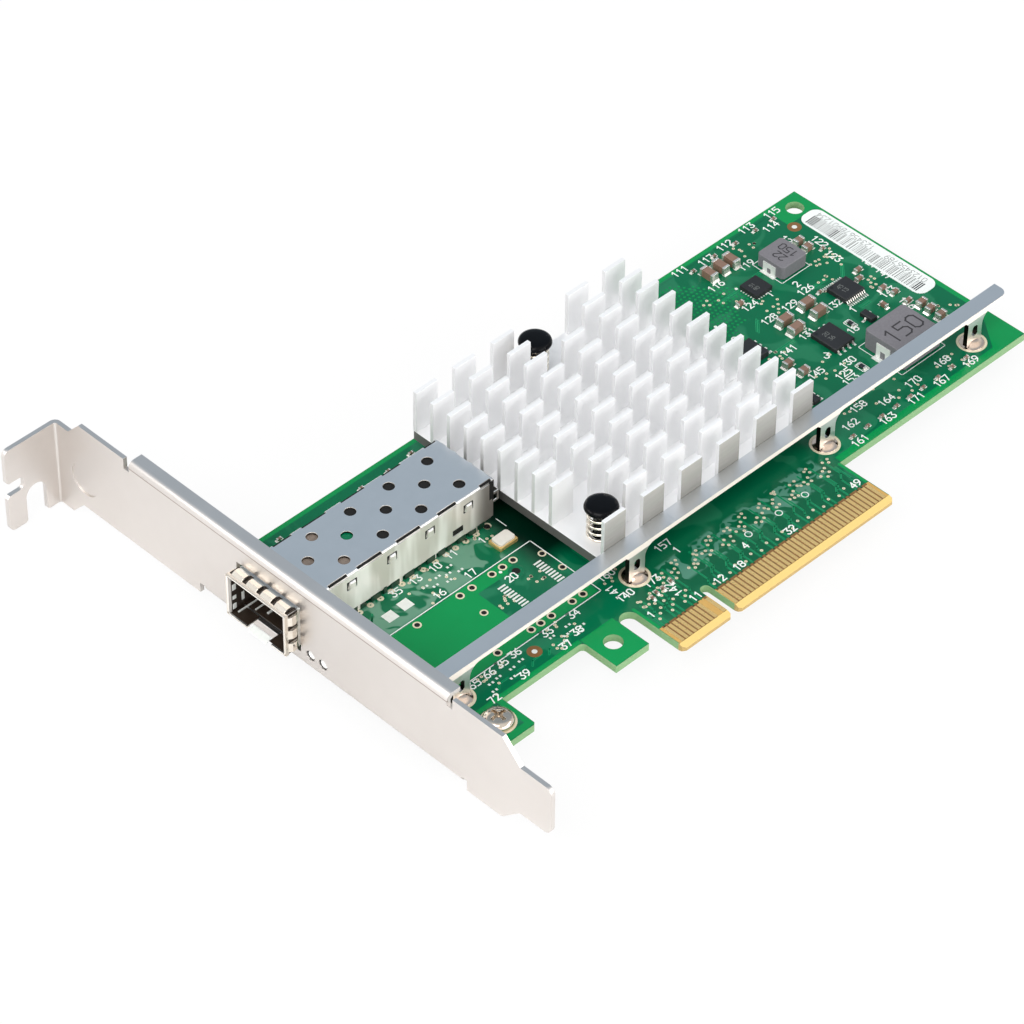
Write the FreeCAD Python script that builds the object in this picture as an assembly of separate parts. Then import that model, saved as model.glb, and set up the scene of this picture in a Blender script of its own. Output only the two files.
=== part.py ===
import FreeCAD, Part
import math
import os

# Half-length network interface card with a full-height bracket, millimetres.
# X runs from the bracket to the far end of the board, Y from the finger edge to the
# opposite edge, Z up through the component side.  The origin is the middle of the
# key notch on the finger edge, half way through the board's thickness.

V = FreeCAD.Vector
os.makedirs("parts", exist_ok=True)
SMALL_RADIUS = 0.85        # corners up to this are cut straight

# --- board ---
BOARD_T = 1.57
BOARD_TOP = BOARD_T / 2
BOARD_LEFT = -57.6
BOARD_RIGHT = 88.49
BOARD_REAR = 68.9          # edge opposite the fingers
BOARD_FRONT = 12.65        # long edge beside the fingers
BEVEL_DEPTH = 0.42
BEVEL_LENGTH = 1.25
KEY_HALF_WIDTH = 0.95
KEY_DEPTH = 8.05
FINGER_LEFT = -12.6
FINGER_RIGHT = 39.6
SLOT_LEFT = -16.1          # slot between the finger tongue and the hole tab
SLOT_TOP = 12.8
TAB_LEFT = -23.9
TAB_FRONT = 4.8
SCREW_TAB_RIGHT = -42.65
CORNER_HOLE = (85.0, 65.5)
TAB_HOLE = (-20.1, 9.25)
CORNER_HOLE_R = 1.75
TAB_HOLE_R = 1.72

# --- edge contacts ---
CONTACT_PITCH = 1.0
CONTACT_WIDTH = 0.7
CONTACT_T = 0.05
CONTACT_START = 1.35
CONTACT_END = 5.6
SHORT_CONTACTS = 11
LONG_CONTACTS = 38
FIRST_CONTACT = 1.5        # distance of the nearest contact from the key's centre
ABSENT_CONTACT = 1         # place in the short row that the component side leaves bare

# --- bracket ---
SHEET = 0.86
BRACKET_FACE = -59.05      # outer face
BRACKET_IN = BRACKET_FACE + SHEET
PLATE_LOW = -3.35
PLATE_HIGH = 15.07
BEND_R = 0.45              # inside radius of the folded flanges
TAB_IN = 105.2             # face of the fixing tab that meets the chassis
TAB_OUT = TAB_IN + SHEET
TAB_LENGTH = 11.43
FOLD_LOW = -6.52
FOLD_HIGH = 11.9
TAIL_END = -15.0
TAIL_Z = (0.5, 10.9)       # lower and upper edge of the narrow tail
TAPER_Y = (-7.95, -3.9)    # where the tail widens into the plate
SHOULDER_Y = (98.9, 101.8)  # where the plate widens below the fold
LOW_FLANGE_Y = (5.5, 67.5)
HIGH_FLANGE_Y = (8.8, 86.0)
LOW_FLANGE_X = -54.6       # reach of the flange under the board
HIGH_FLANGE_X = -56.0      # reach of the stiffening flange above it
RELIEF = 1.3               # width of the relief notches at a flange's ends
RELIEF_DEPTH = 2.2
PORT_Y = (43.6, 59.1)
PORT_Z = (0.3, 10.4)
SCREW_SLOT_X = -66.8       # closed end of the slot in the fixing tab
SCREW_SLOT_Z = (1.6, 4.4)
NOTCH_X = (-66.5, -62.1)   # locating notch of the fixing tab
NOTCH_TOP = 1.0
DIMPLE_SPOT = (98.2, 3.0)  # coined dimple near the fold
DIMPLE_R = 3.4
DIMPLE_DEPTH = 0.25
SCREW_X = -46.7
SCREW_YS = (9.5, 62.3)
SCREW_HOLE_R = 1.6
SHANK_R = 1.24
SCREW_HEAD_R = 2.75
COLLAR_R = 2.2             # extruded collar that holds the screw's thread
COLLAR_DEPTH = 1.2
EAR_WIDTH = 8.0
EAR_X = (-55.2, -42.5)
LED_YS = (41.3, 38.3)
LED_Z = 0.95
LED_HOLE_R = 1.05
LENS_R = 0.9

# --- SFP cage ---
CAGE_SHEET = 0.2
CAGE_FRONT = -62.0
CAGE_REAR = -13.8
CAGE_Y = 51.35             # centre line of the populated port
EMPTY_PORT_Y = 27.9        # centre line of the unpopulated port
CAGE_HALF = 7.15
CAGE_TOP = 9.75
CAGE_NEAR = CAGE_Y - CAGE_HALF
CAGE_FAR = CAGE_Y + CAGE_HALF
WALL_NEAR = CAGE_NEAR + CAGE_SHEET      # outer face of the base's near wall
WALL_FAR = CAGE_FAR - CAGE_SHEET
WALL_TOP = 9.35
CAGE_FLOOR = 0.9
FLOOR_END = -27.0
COVER_LOW = 1.3            # lower edge of the cover's side flanges
DIMPLE_XS = (-46.7, -37.5, -28.7, -19.7)
DIMPLE_Z = 7.0
VENT_ROWS = (
    (55.3, (-18.7, -27.75, -36.7, -45.5)),
    (51.45, (-23.1, -32.05, -41.1, -49.95)),
    (47.4, (-18.8, -27.7, -36.6, -45.5)),
)
VENT_R = 1.05
EDGE_SLOTS = ((-51.8, -47.6), (-45.3, -39.7), (-36.3, -30.8), (-26.7, -22.4), (-16.8, -14.2))
EDGE_SLOT_DEPTH = 0.65
LATCH_Y = (47.8, 53.7)     # opening for the plug's latch in the mouth
FINGER_T = 0.12
FINGER_RISE = 0.42
HOUSING_X = (-24.5, -15.4)
HOUSING_Y = (46.3, 56.4)
HOUSING_TOP = 7.9
PIN_ROW = 7.05
NEAR_PIN_XS = (-45.5, -35.7, -27.85, -25.6, -23.1, -18.15, -15.6)
FAR_PIN_XS = (-40.7, -30.7, -27.9, -23.2, -20.7, -18.2)
USED_NEAR_XS = (-45.5, -35.7, -27.85, -18.15)
USED_FAR_XS = (-40.7, -30.7, -23.2, -18.2)
PIN_HOLE_R = 0.5

# --- heat sink and controller ---
PACKAGE_CENTRE = (4.65, 44.8)
PACKAGE_SIZE = (25.0, 25.0)
PACKAGE_Z = (1.3, 2.3)     # top of the substrate and of the lid
LID_SIZE = (22.0, 22.0)
PAD_SIZE = (20.0, 20.0)
SINK_X = (-11.0, 40.4)
SINK_Y = (20.55, 66.75)
SINK_BASE = (2.5, 4.5)
FIN_TOP = 13.5
FIN_LENGTH = 5.1
FIN_T = 0.8
FIN_COLUMNS = 6
FIN_ROWS = 12
PIN_FRONT = (-6.3, 25.9)
PIN_REAR = (15.55, 63.7)
PUSH_HOLE_R = 1.6
HEAD_R = 3.05
HEAD_TOP = 11.7
HEAD_T = 1.3
PIN_R = 1.4
BARB_R = 1.9
BARB_LENGTH = 2.4
SPRING_TURNS = 4
SPRING_R = 2.35
SPRING_WIRE_R = 0.24

# --- stiffener rail ---
RAIL_T = 0.95
RAIL_TOP = 7.0
RAIL_Y = (17.3, 20.5)
RAIL_X = (-57.2, 88.4)
LEG_XS = (-47.5, -6.25, 41.2, 79.9)
LEG_HALF = 1.9
LEG_FILLET = 2.4
LEG_HOLE = (0.7, 1.9, 4.2)  # half width, lower and upper end of the oval hole

# --- surface-mounted parts: (x, y, direction of the length) ---
LARGE_CAPS = (
    (59.3, 62.9, "y"), (62.3, 62.9, "y"), (65.0, 62.8, "y"),
    (66.0, 45.0, "x"), (65.95, 42.0, "x"), (59.8, 44.6, "x"), (59.6, 41.7, "x"),
)
MEDIUM_CAPS = (
    (51.7, 36.3, "x"), (52.3, 33.05, "x"), (81.1, 30.8, "x"), (81.0, 28.6, "x"), (81.1, 26.2, "x"),
    (77.9, 58.0, "x"), (77.8, 55.7, "x"),
)
SMALL_CAPS = (
    (57.7, 53.65, "x"), (79.35, 38.7, "x"), (80.0, 33.1, "x"), (80.1, 36.4, "x"), (76.0, 35.35, "y"),
    (79.9, 45.2, "x"), (78.2, 43.4, "x"),
)
TINY_CAPS = (
    (69.5, 66.0, "x"), (64.1, 66.2, "x"), (74.8, 66.0, "x"), (58.3, 65.9, "x"), (79.6, 66.0, "x"),
    (79.9, 53.9, "x"), (70.5, 45.95, "x"), (-43.2, 66.3, "x"), (-24.5, 65.8, "x"), (-18.2, 65.7, "x"),
    (-12.2, 66.3, "x"), (-2.9, 12.5, "y"), (-5.1, 12.2, "y"), (-6.6, 12.3, "y"), (-8.0, 11.8, "y"),
)
LOWER_ROW_XS = (46.05, 49.9, 53.6, 57.4, 61.0, 64.45, 68.3, 72.2, 75.9)
LOWER_ROW_Y = 15.6
RESISTORS = ((68.1, 36.2, "y"), (60.9, 26.9, "y"))
UP, DOWN, LEFT, RIGHT = (0, 1), (0, -1), (-1, 0), (1, 0)
CHIP_1206 = (3.2, 1.6, 1.6, 0.5)      # length, width, height, length of an end cap
CHIP_0805 = (2.0, 1.25, 1.25, 0.4)
CHIP_0603 = (1.6, 0.8, 0.8, 0.3)
CHIP_0402 = (1.0, 0.5, 0.5, 0.25)
FILM_0603 = (1.6, 0.8, 0.45, 0.3)
UNDERSIDE_PITCH = (8.4, 6.4)
SMALL_INDUCTOR = ((71.2, 56.0), (6.5, 6.5), 3.0)      # centre, size, height
LARGE_INDUCTOR = ((70.1, 25.65), (10.2, 9.5), 4.3)
TERMINAL_T = 0.18
REGULATOR = ((62.95, 54.65), (4.2, 4.2), 0.9)
CRYSTAL_X = (-18.4, -14.2)
CRYSTAL_Y = (37.75, 40.7)
CRYSTAL_Z = (0.7, 1.2)     # top of the base and of the lid
LABEL_X = (82.8, 87.9)
LABEL_Y = (32.5, 62.9)
LABEL_T = 0.1


def box(x0, x1, y0, y1, z0, z1):
    """Box between two corners; the heights are measured from the board's top face."""
    corner = V(min(x0, x1), min(y0, y1), min(z0, z1) + BOARD_TOP)
    return Part.makeBox(abs(x1 - x0), abs(y1 - y0), abs(z1 - z0), corner)


def block(centre, size, z0, z1):
    """Box centred on (x, y) with the given (length, width), between two heights."""
    half_x, half_y = size[0] / 2, size[1] / 2
    return box(centre[0] - half_x, centre[0] + half_x, centre[1] - half_y, centre[1] + half_y, z0, z1)


def post(centre, radius, z0, z1):
    """Upright cylinder at (x, y) between two heights above the board."""
    return Part.makeCylinder(radius, z1 - z0, V(centre[0], centre[1], z0 + BOARD_TOP))


def faceted_post(centre, radius, z0, z1, sides):
    """Upright prism that stands in for a small round hole or stud."""
    return Part.Face(Part.makePolygon(ring(centre, radius, z0, sides))).extrude(V(0, 0, z1 - z0))


def across(shape, x, y, z):
    """An upright shape from the origin laid along +X, starting at (x, y, z)."""
    shape.translate(V(0, 0, -BOARD_TOP))
    shape.rotate(V(0, 0, 0), V(0, 1, 0), 90)
    shape.translate(V(x, y, z + BOARD_TOP))
    return shape


def ring(centre, radius, height, sides):
    """Closed polygon of corner points round an upright axis."""
    points = []
    for i in range(sides + 1):
        angle = 2 * math.pi * (i + 0.5) / sides
        x, y = centre[0] + radius * math.cos(angle), centre[1] + radius * math.sin(angle)
        points.append(V(x, y, height + BOARD_TOP))
    return points


def turned(profile, centre, sides=12):
    """Turned solid in flat facets; profile is (radius, height) pairs between its two ends."""
    rings = [ring(centre, radius, height, sides) for radius, height in profile]
    faces = [Part.Face(Part.makePolygon(rings[0])), Part.Face(Part.makePolygon(rings[-1]))]
    for first, second in zip(rings, rings[1:]):
        for i in range(sides):
            corners = [first[i], first[i + 1], second[i + 1], second[i], first[i]]
            faces.append(Part.Face(Part.makePolygon(corners)))
    return Part.makeSolid(Part.makeShell(faces))


def rounded_wire(corners, place):
    """Closed wire through (u, v, radius) corners; place turns (u, v) into a point.

    Corners of up to SMALL_RADIUS are cut straight, the others follow a true arc.
    """
    count = len(corners)
    entries = []
    exits = []
    arcs = []
    for i, (u, v, radius) in enumerate(corners):
        pu, pv = corners[i - 1][0] - u, corners[i - 1][1] - v
        nu, nv = corners[(i + 1) % count][0] - u, corners[(i + 1) % count][1] - v
        previous, following = math.hypot(pu, pv), math.hypot(nu, nv)
        pu, pv, nu, nv = pu / previous, pv / previous, nu / following, nv / following
        if radius == 0:
            entries.append((u, v))
            exits.append((u, v))
            arcs.append(None)
            continue
        half = math.acos(max(-1.0, min(1.0, pu * nu + pv * nv))) / 2
        reach = radius / math.tan(half)
        bu, bv = pu + nu, pv + nv
        length = math.hypot(bu, bv)
        out = radius / math.sin(half) - radius
        entries.append((u + pu * reach, v + pv * reach))
        exits.append((u + nu * reach, v + nv * reach))
        arcs.append((u + bu / length * out, v + bv / length * out) if radius > SMALL_RADIUS else None)
    edges = []
    for i in range(count):
        start, end, following = place(*entries[i]), place(*exits[i]), place(*entries[(i + 1) % count])
        if arcs[i]:
            edges.append(Part.Arc(start, place(*arcs[i]), end).toShape())
        elif corners[i][2] > 0:
            edges.append(Part.LineSegment(start, end).toShape())
        if end.distanceToPoint(following) > 1e-6:
            edges.append(Part.LineSegment(end, following).toShape())
    return Part.Wire(edges)


def plate_z(corners, z0, z1):
    """Plate with an outline in X and Y, between two heights above the board."""
    wire = rounded_wire(corners, lambda x, y: V(x, y, z0 + BOARD_TOP))
    return Part.Face(wire).extrude(V(0, 0, z1 - z0))


def plate_x(corners, x0, x1):
    """Plate with an outline in Y and height, between two X positions."""
    wire = rounded_wire(corners, lambda y, z: V(x0, y, z + BOARD_TOP))
    return Part.Face(wire).extrude(V(x1 - x0, 0, 0))


def plate_y(corners, y0, y1):
    """Plate with an outline in X and height, between two Y positions."""
    wire = rounded_wire(corners, lambda x, z: V(x, y0, z + BOARD_TOP))
    return Part.Face(wire).extrude(V(0, y1 - y0, 0))


def rectangle(u0, u1, v0, v1, radius=0):
    return [(u0, v0, radius), (u1, v0, radius), (u1, v1, radius), (u0, v1, radius)]


def clipped_rectangle(u0, u1, v0, v1, clip):
    """Corners of a rectangle with its four corners cut off at 45 degrees."""
    points = [
        (u0 + clip, v0), (u1 - clip, v0), (u1, v0 + clip), (u1, v1 - clip),
        (u1 - clip, v1), (u0 + clip, v1), (u0, v1 - clip), (u0, v0 + clip),
    ]
    return [(u, v, 0) for u, v in points]


def save(node, solids):
    """Write one node: a single solid, or a group of separate solids."""
    shape = solids if not isinstance(solids, list) else Part.makeCompound(solids)
    shape.exportStep("parts/" + node + ".step")


def joined(shapes):
    return shapes[0].fuse(shapes[1:]).removeSplitter()


# --- printed circuit board ---
def port_holes(centre_y, near_xs, far_xs):
    """Press-fit holes of one SFP cage, on both sides of its centre line."""
    near = [(x, centre_y - PIN_ROW) for x in near_xs]
    far = [(x, centre_y + PIN_ROW) for x in far_xs]
    return near + far


def board_outline():
    slot_r = (FINGER_LEFT - SLOT_LEFT) / 2 - 0.01
    key_r = KEY_HALF_WIDTH - 0.01
    return [
        (BOARD_LEFT, TAB_FRONT, 0),
        (SCREW_TAB_RIGHT, TAB_FRONT, 0.4),
        (SCREW_TAB_RIGHT, BOARD_FRONT, 0),
        (TAB_LEFT, BOARD_FRONT, 0.9),
        (TAB_LEFT, TAB_FRONT, 0),
        (SLOT_LEFT, TAB_FRONT, 0),
        (SLOT_LEFT, SLOT_TOP, slot_r),
        (FINGER_LEFT, SLOT_TOP, slot_r),
        (FINGER_LEFT, 0, 0.6),
        (-KEY_HALF_WIDTH, 0, 0.5),
        (-KEY_HALF_WIDTH, KEY_DEPTH, key_r),
        (KEY_HALF_WIDTH, KEY_DEPTH, key_r),
        (KEY_HALF_WIDTH, 0, 0.5),
        (FINGER_RIGHT, 0, 0.6),
        (FINGER_RIGHT, BOARD_FRONT, 0),
        (BOARD_RIGHT, BOARD_FRONT, 0),
        (BOARD_RIGHT, BOARD_REAR, 0),
        (BOARD_LEFT, BOARD_REAR, 0),
    ]


def bevel_wedge(top):
    """Wedge that bevels one face of the finger edge."""
    face = 0 if top else -BOARD_T
    slope = -BEVEL_DEPTH if top else BEVEL_DEPTH
    place = lambda y, z: V(FINGER_LEFT - 1, y, z + BOARD_TOP)
    corners = [(-1, face + slope * (1 + 1 / BEVEL_LENGTH), 0), (BEVEL_LENGTH, face, 0), (-1, face - slope, 0)]
    return Part.Face(rounded_wire(corners, place)).extrude(V(FINGER_RIGHT - FINGER_LEFT + 2, 0, 0))


def make_board():
    board = plate_z(board_outline(), -BOARD_T, 0)
    open_holes = [(CORNER_HOLE, CORNER_HOLE_R), (TAB_HOLE, TAB_HOLE_R)]
    filled_holes = [(PIN_FRONT, PUSH_HOLE_R), (PIN_REAR, PUSH_HOLE_R)]
    filled_holes += [((SCREW_X, y), SCREW_HOLE_R) for y in SCREW_YS]
    low, high = -BOARD_T - 1, 1
    cutters = [post(spot, radius, low, high) for spot, radius in open_holes]
    cutters += [faceted_post(spot, radius, low, high, 10) for spot, radius in filled_holes]
    for spot in port_holes(EMPTY_PORT_Y, NEAR_PIN_XS, FAR_PIN_XS):
        cutters.append(faceted_post(spot, PIN_HOLE_R, low, high, 6))
    for spot in port_holes(CAGE_Y, USED_NEAR_XS, USED_FAR_XS):
        cutters.append(faceted_post(spot, PIN_HOLE_R, low, high, 4))
    return board.cut(cutters + [bevel_wedge(True), bevel_wedge(False)])


def make_edge_contacts():
    """Gold contacts on both faces of the finger tongue."""
    solids = []
    for top in (True, False):
        z0, z1 = (0, CONTACT_T) if top else (-BOARD_T - CONTACT_T, -BOARD_T)
        short = [-FIRST_CONTACT - i * CONTACT_PITCH for i in range(SHORT_CONTACTS)]
        if top:
            del short[ABSENT_CONTACT]
        long = [FIRST_CONTACT + i * CONTACT_PITCH for i in range(LONG_CONTACTS)]
        for x in short + long:
            left, right = x - CONTACT_WIDTH / 2, x + CONTACT_WIDTH / 2
            solids.append(box(left, right, CONTACT_START, CONTACT_END, z0, z1))
    return solids


# --- bracket ---
def flange(y0, y1, z_outer, reach, upward):
    """Quarter bend and flat flange folded from the plate towards the board."""
    sign = 1 if upward else -1
    outer = BEND_R + SHEET
    corners = [
        (BRACKET_FACE, z_outer - sign * (outer + 0.2), 0),
        (BRACKET_FACE, z_outer, outer),
        (reach, z_outer, 0),
        (reach, z_outer - sign * SHEET, 0),
        (BRACKET_IN, z_outer - sign * SHEET, BEND_R),
        (BRACKET_IN, z_outer - sign * (outer + 0.2), 0),
    ]
    return plate_y(corners, y0, y1)


def bracket_plate():
    """Main plate with its stepped upper end and tapered tail."""
    outer = BEND_R + SHEET
    low_bend = -BOARD_T - SHEET + outer
    high_bend = PLATE_HIGH - outer
    low_relief = PLATE_LOW + RELIEF_DEPTH
    high_relief = PLATE_HIGH - RELIEF_DEPTH
    tail_low, tail_high = TAIL_Z
    fold = TAB_IN - BEND_R
    corners = [
        (TAIL_END, tail_low, 1.6), (TAPER_Y[0], tail_low, 0.8), (TAPER_Y[1], PLATE_LOW, 0.8),
        (LOW_FLANGE_Y[0] - RELIEF, PLATE_LOW, 0), (LOW_FLANGE_Y[0] - RELIEF, low_relief, 0),
        (LOW_FLANGE_Y[0], low_relief, 0), (LOW_FLANGE_Y[0], low_bend, 0),
        (LOW_FLANGE_Y[1], low_bend, 0), (LOW_FLANGE_Y[1], low_relief, 0),
        (LOW_FLANGE_Y[1] + RELIEF, low_relief, 0), (LOW_FLANGE_Y[1] + RELIEF, PLATE_LOW, 0),
        (SHOULDER_Y[0], PLATE_LOW, 0), (SHOULDER_Y[1], FOLD_LOW, 0),
        (fold, FOLD_LOW, 0), (fold, FOLD_HIGH, 0),
        (SHOULDER_Y[1], FOLD_HIGH, 0), (SHOULDER_Y[0], PLATE_HIGH, 0),
        (HIGH_FLANGE_Y[1] + RELIEF, PLATE_HIGH, 0), (HIGH_FLANGE_Y[1] + RELIEF, high_relief, 0),
        (HIGH_FLANGE_Y[1], high_relief, 0), (HIGH_FLANGE_Y[1], high_bend, 0),
        (HIGH_FLANGE_Y[0], high_bend, 0), (HIGH_FLANGE_Y[0], high_relief, 0),
        (HIGH_FLANGE_Y[0] - RELIEF, high_relief, 0), (HIGH_FLANGE_Y[0] - RELIEF, PLATE_HIGH, 0),
        (TAPER_Y[1], PLATE_HIGH, 0), (TAPER_Y[0], tail_high, 0), (TAIL_END, tail_high, 1.4),
    ]
    return plate_x(corners, BRACKET_FACE, BRACKET_IN)


def fixing_tab():
    """Tab folded outwards at the top, with its locating hook and its screw slot."""
    end = BRACKET_FACE - TAB_LENGTH
    root = BRACKET_FACE - BEND_R
    slot_low, slot_high = SCREW_SLOT_Z
    notch_far, notch_near = NOTCH_X
    notch_r = (notch_near - notch_far) / 2 - 0.01
    corners = [
        (root, FOLD_LOW, 0), (root, FOLD_HIGH, 0), (end, FOLD_HIGH, 1.3),
        (end, slot_high, 0.5), (SCREW_SLOT_X, slot_high, 0.9),
        (SCREW_SLOT_X, slot_low, 0.9), (end, slot_low, 0.5),
        (end, FOLD_LOW, 1.3), (notch_far, FOLD_LOW, 0.4),
        (notch_far, NOTCH_TOP, notch_r), (notch_near, NOTCH_TOP, notch_r), (notch_near, FOLD_LOW, 0.4),
    ]
    return plate_y(corners, TAB_IN, TAB_OUT)


def tab_bend():
    """Quarter ring between the plate and the fixing tab."""
    centre_x, centre_y = BRACKET_FACE - BEND_R, TAB_IN - BEND_R
    place = lambda x, y: V(x, y, FOLD_LOW + BOARD_TOP)
    outer, inner = BEND_R + SHEET, BEND_R
    diagonal = math.sqrt(0.5)
    arc_out = Part.Arc(place(centre_x + outer, centre_y),
                       place(centre_x + outer * diagonal, centre_y + outer * diagonal),
                       place(centre_x, centre_y + outer)).toShape()
    arc_in = Part.Arc(place(centre_x, centre_y + inner),
                      place(centre_x + inner * diagonal, centre_y + inner * diagonal),
                      place(centre_x + inner, centre_y)).toShape()
    side = Part.LineSegment(place(centre_x, centre_y + outer), place(centre_x, centre_y + inner)).toShape()
    base = Part.LineSegment(place(centre_x + inner, centre_y), place(centre_x + outer, centre_y)).toShape()
    return Part.Face(Part.Wire([arc_out, side, arc_in, base])).extrude(V(0, 0, FOLD_HIGH - FOLD_LOW))


def make_bracket():
    under = -BOARD_T - SHEET
    pieces = [bracket_plate(), fixing_tab(), tab_bend()]
    pieces.append(flange(HIGH_FLANGE_Y[0], HIGH_FLANGE_Y[1], PLATE_HIGH, HIGH_FLANGE_X, True))
    pieces.append(flange(LOW_FLANGE_Y[0], LOW_FLANGE_Y[1], under, LOW_FLANGE_X, False))
    for y in SCREW_YS:
        near = max(y - EAR_WIDTH / 2, LOW_FLANGE_Y[0])
        ear = clipped_rectangle(EAR_X[0], EAR_X[1], near, y + EAR_WIDTH / 2 - 0.2, 0.6)
        pieces.append(plate_z(ear, under, -BOARD_T))
        pieces.append(faceted_post((SCREW_X, y), COLLAR_R, under - COLLAR_DEPTH, -BOARD_T, 10))
    bracket = joined(pieces)
    outside, inside = BRACKET_FACE - 1, BRACKET_IN + 1
    cutters = [plate_x(rectangle(PORT_Y[0], PORT_Y[1], PORT_Z[0], PORT_Z[1]), outside, inside)]
    for y in LED_YS:
        cutters.append(across(faceted_post((0, 0), LED_HOLE_R, 0, inside - outside, 10), outside, y, LED_Z))
    cutters += [faceted_post((SCREW_X, y), SHANK_R + 0.1, -6, 0, 10) for y in SCREW_YS]
    dimple = faceted_post((0, 0), DIMPLE_R, 0, 1 + DIMPLE_DEPTH, 16)
    cutters.append(across(dimple, outside, DIMPLE_SPOT[0], DIMPLE_SPOT[1]))
    return bracket.cut(cutters)


def make_bracket_screws():
    """Pan-head cross-recess screws through the board into the bracket's ears."""
    solids = []
    head = [(SCREW_HEAD_R, 0), (SCREW_HEAD_R, 0.8), (1.7, 1.6)]
    foot = -BOARD_T - SHEET - COLLAR_DEPTH
    for y in SCREW_YS:
        spot = (SCREW_X, y)
        shank = faceted_post(spot, SHANK_R, foot, 0.3, 10)
        arms = [block(spot, (2.6, 0.55), 0.85, 2), block(spot, (0.55, 2.6), 0.85, 2)]
        solids.append(shank.fuse(turned(head, spot)).cut(arms))
    return solids


# --- SFP cage ---
def make_cage_base():
    """Floor, two side walls and press-fit pins, folded from one sheet."""
    near_wall = box(CAGE_FRONT, CAGE_REAR - 0.3, WALL_NEAR, WALL_NEAR + CAGE_SHEET, CAGE_FLOOR, WALL_TOP)
    far_wall = box(CAGE_FRONT, CAGE_REAR - 0.3, WALL_FAR - CAGE_SHEET, WALL_FAR, CAGE_FLOOR, WALL_TOP)
    floor = box(CAGE_FRONT, FLOOR_END, WALL_NEAR, WALL_FAR, CAGE_FLOOR, CAGE_FLOOR + CAGE_SHEET)
    pieces = [near_wall, far_wall, floor]
    for rows, y0 in ((USED_NEAR_XS, WALL_NEAR), (USED_FAR_XS, WALL_FAR - CAGE_SHEET)):
        for x in rows:
            pieces.append(box(x - 0.3, x + 0.3, y0, y0 + CAGE_SHEET, -BOARD_T - 1.0, CAGE_FLOOR + 0.1))
            pieces.append(box(x - 0.7, x + 0.7, y0, y0 + CAGE_SHEET, 0, CAGE_FLOOR + 0.1))
    for x in DIMPLE_XS:
        for y0 in (CAGE_NEAR - 0.2, WALL_FAR):
            pieces.append(box(x - 0.7, x + 0.7, y0, y0 + CAGE_SHEET + 0.2, DIMPLE_Z - 0.6, DIMPLE_Z + 0.5))
    base = joined(pieces)
    # mouth cut-out for the plug's latch, and the sprung tongue behind it
    latch_mouth = box(CAGE_FRONT - 1, -59.6, LATCH_Y[0], LATCH_Y[1], 0, 2)
    tongue_sides = [box(-58.2, -50.0, y, y + 0.5, 0, 2) for y in (48.4, 53.8)]
    tongue_end = box(-50.5, -50.0, 48.4, 54.3, 0, 2)
    latch_window = plate_z([(-55.6, 49.9, 0.3), (-52.2, 51.35, 0.3), (-55.6, 52.8, 0.3)], 0, 2)
    return base.cut([latch_mouth, tongue_end, latch_window] + tongue_sides)


def make_cage_cover():
    """Top, side flanges and rear flap, with vent holes and slots along the folds."""
    top = box(CAGE_FRONT, CAGE_REAR, CAGE_NEAR, CAGE_FAR, CAGE_TOP - CAGE_SHEET, CAGE_TOP)
    near_side = box(CAGE_FRONT, CAGE_REAR, CAGE_NEAR, WALL_NEAR, COVER_LOW, CAGE_TOP)
    far_side = box(CAGE_FRONT, CAGE_REAR, WALL_FAR, CAGE_FAR, COVER_LOW, CAGE_TOP)
    rear = box(CAGE_REAR - CAGE_SHEET, CAGE_REAR, CAGE_NEAR, CAGE_FAR, 3.4, CAGE_TOP)
    clip = box(CAGE_REAR - 0.1, CAGE_REAR + 1.3, CAGE_NEAR, WALL_NEAR, 4.3, 6.6)
    cover = joined([top, near_side, far_side, rear, clip])
    cutters = [box(-12.9, -13.2, CAGE_NEAR - 1, WALL_NEAR + 1, 4.9, 6.0)]
    for y, xs in VENT_ROWS:
        cutters += [faceted_post((x, y), VENT_R, CAGE_TOP - 1, CAGE_TOP + 1, 8) for x in xs]
    slot_low, slot_high = CAGE_TOP - EDGE_SLOT_DEPTH, CAGE_TOP + 1
    for x0, x1 in EDGE_SLOTS:
        cutters.append(box(x0, x1, CAGE_NEAR - 1, CAGE_NEAR + EDGE_SLOT_DEPTH, slot_low, slot_high))
        cutters.append(box(x0, x1, CAGE_FAR - EDGE_SLOT_DEPTH, CAGE_FAR + 1, slot_low, slot_high))
    for x in DIMPLE_XS:
        for y in (CAGE_NEAR, CAGE_FAR):
            cutters.append(box(x - 0.95, x + 0.95, y - 0.4, y + 0.4, DIMPLE_Z - 0.8, DIMPLE_Z + 0.8))
    # notch over the front of the near side flange and the cut-away lower front corner
    cutters.append(box(-23.3, -21.0, CAGE_NEAR - 1, WALL_NEAR, 2.6, 3.7))
    cutters.append(box(CAGE_REAR - 1, CAGE_REAR + 1, 46.5, 56.2, 3, 5))
    return cover.cut(cutters)


def finger(x0, x1, base_z, rise, width, start):
    """Raised strip along X, standing on base_z and running from start along Y."""
    t = FINGER_T
    slope = (x1 - x0) * 0.3
    corners = [
        (x0, base_z, 0), (x0 + slope, base_z + rise, 0), (x1 - slope, base_z + rise, 0), (x1, base_z, 0),
        (x1, base_z + t, 0), (x1 - slope, base_z + rise + t, 0),
        (x0 + slope, base_z + rise + t, 0), (x0, base_z + t, 0),
    ]
    return plate_y(corners, start, start + width)


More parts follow.
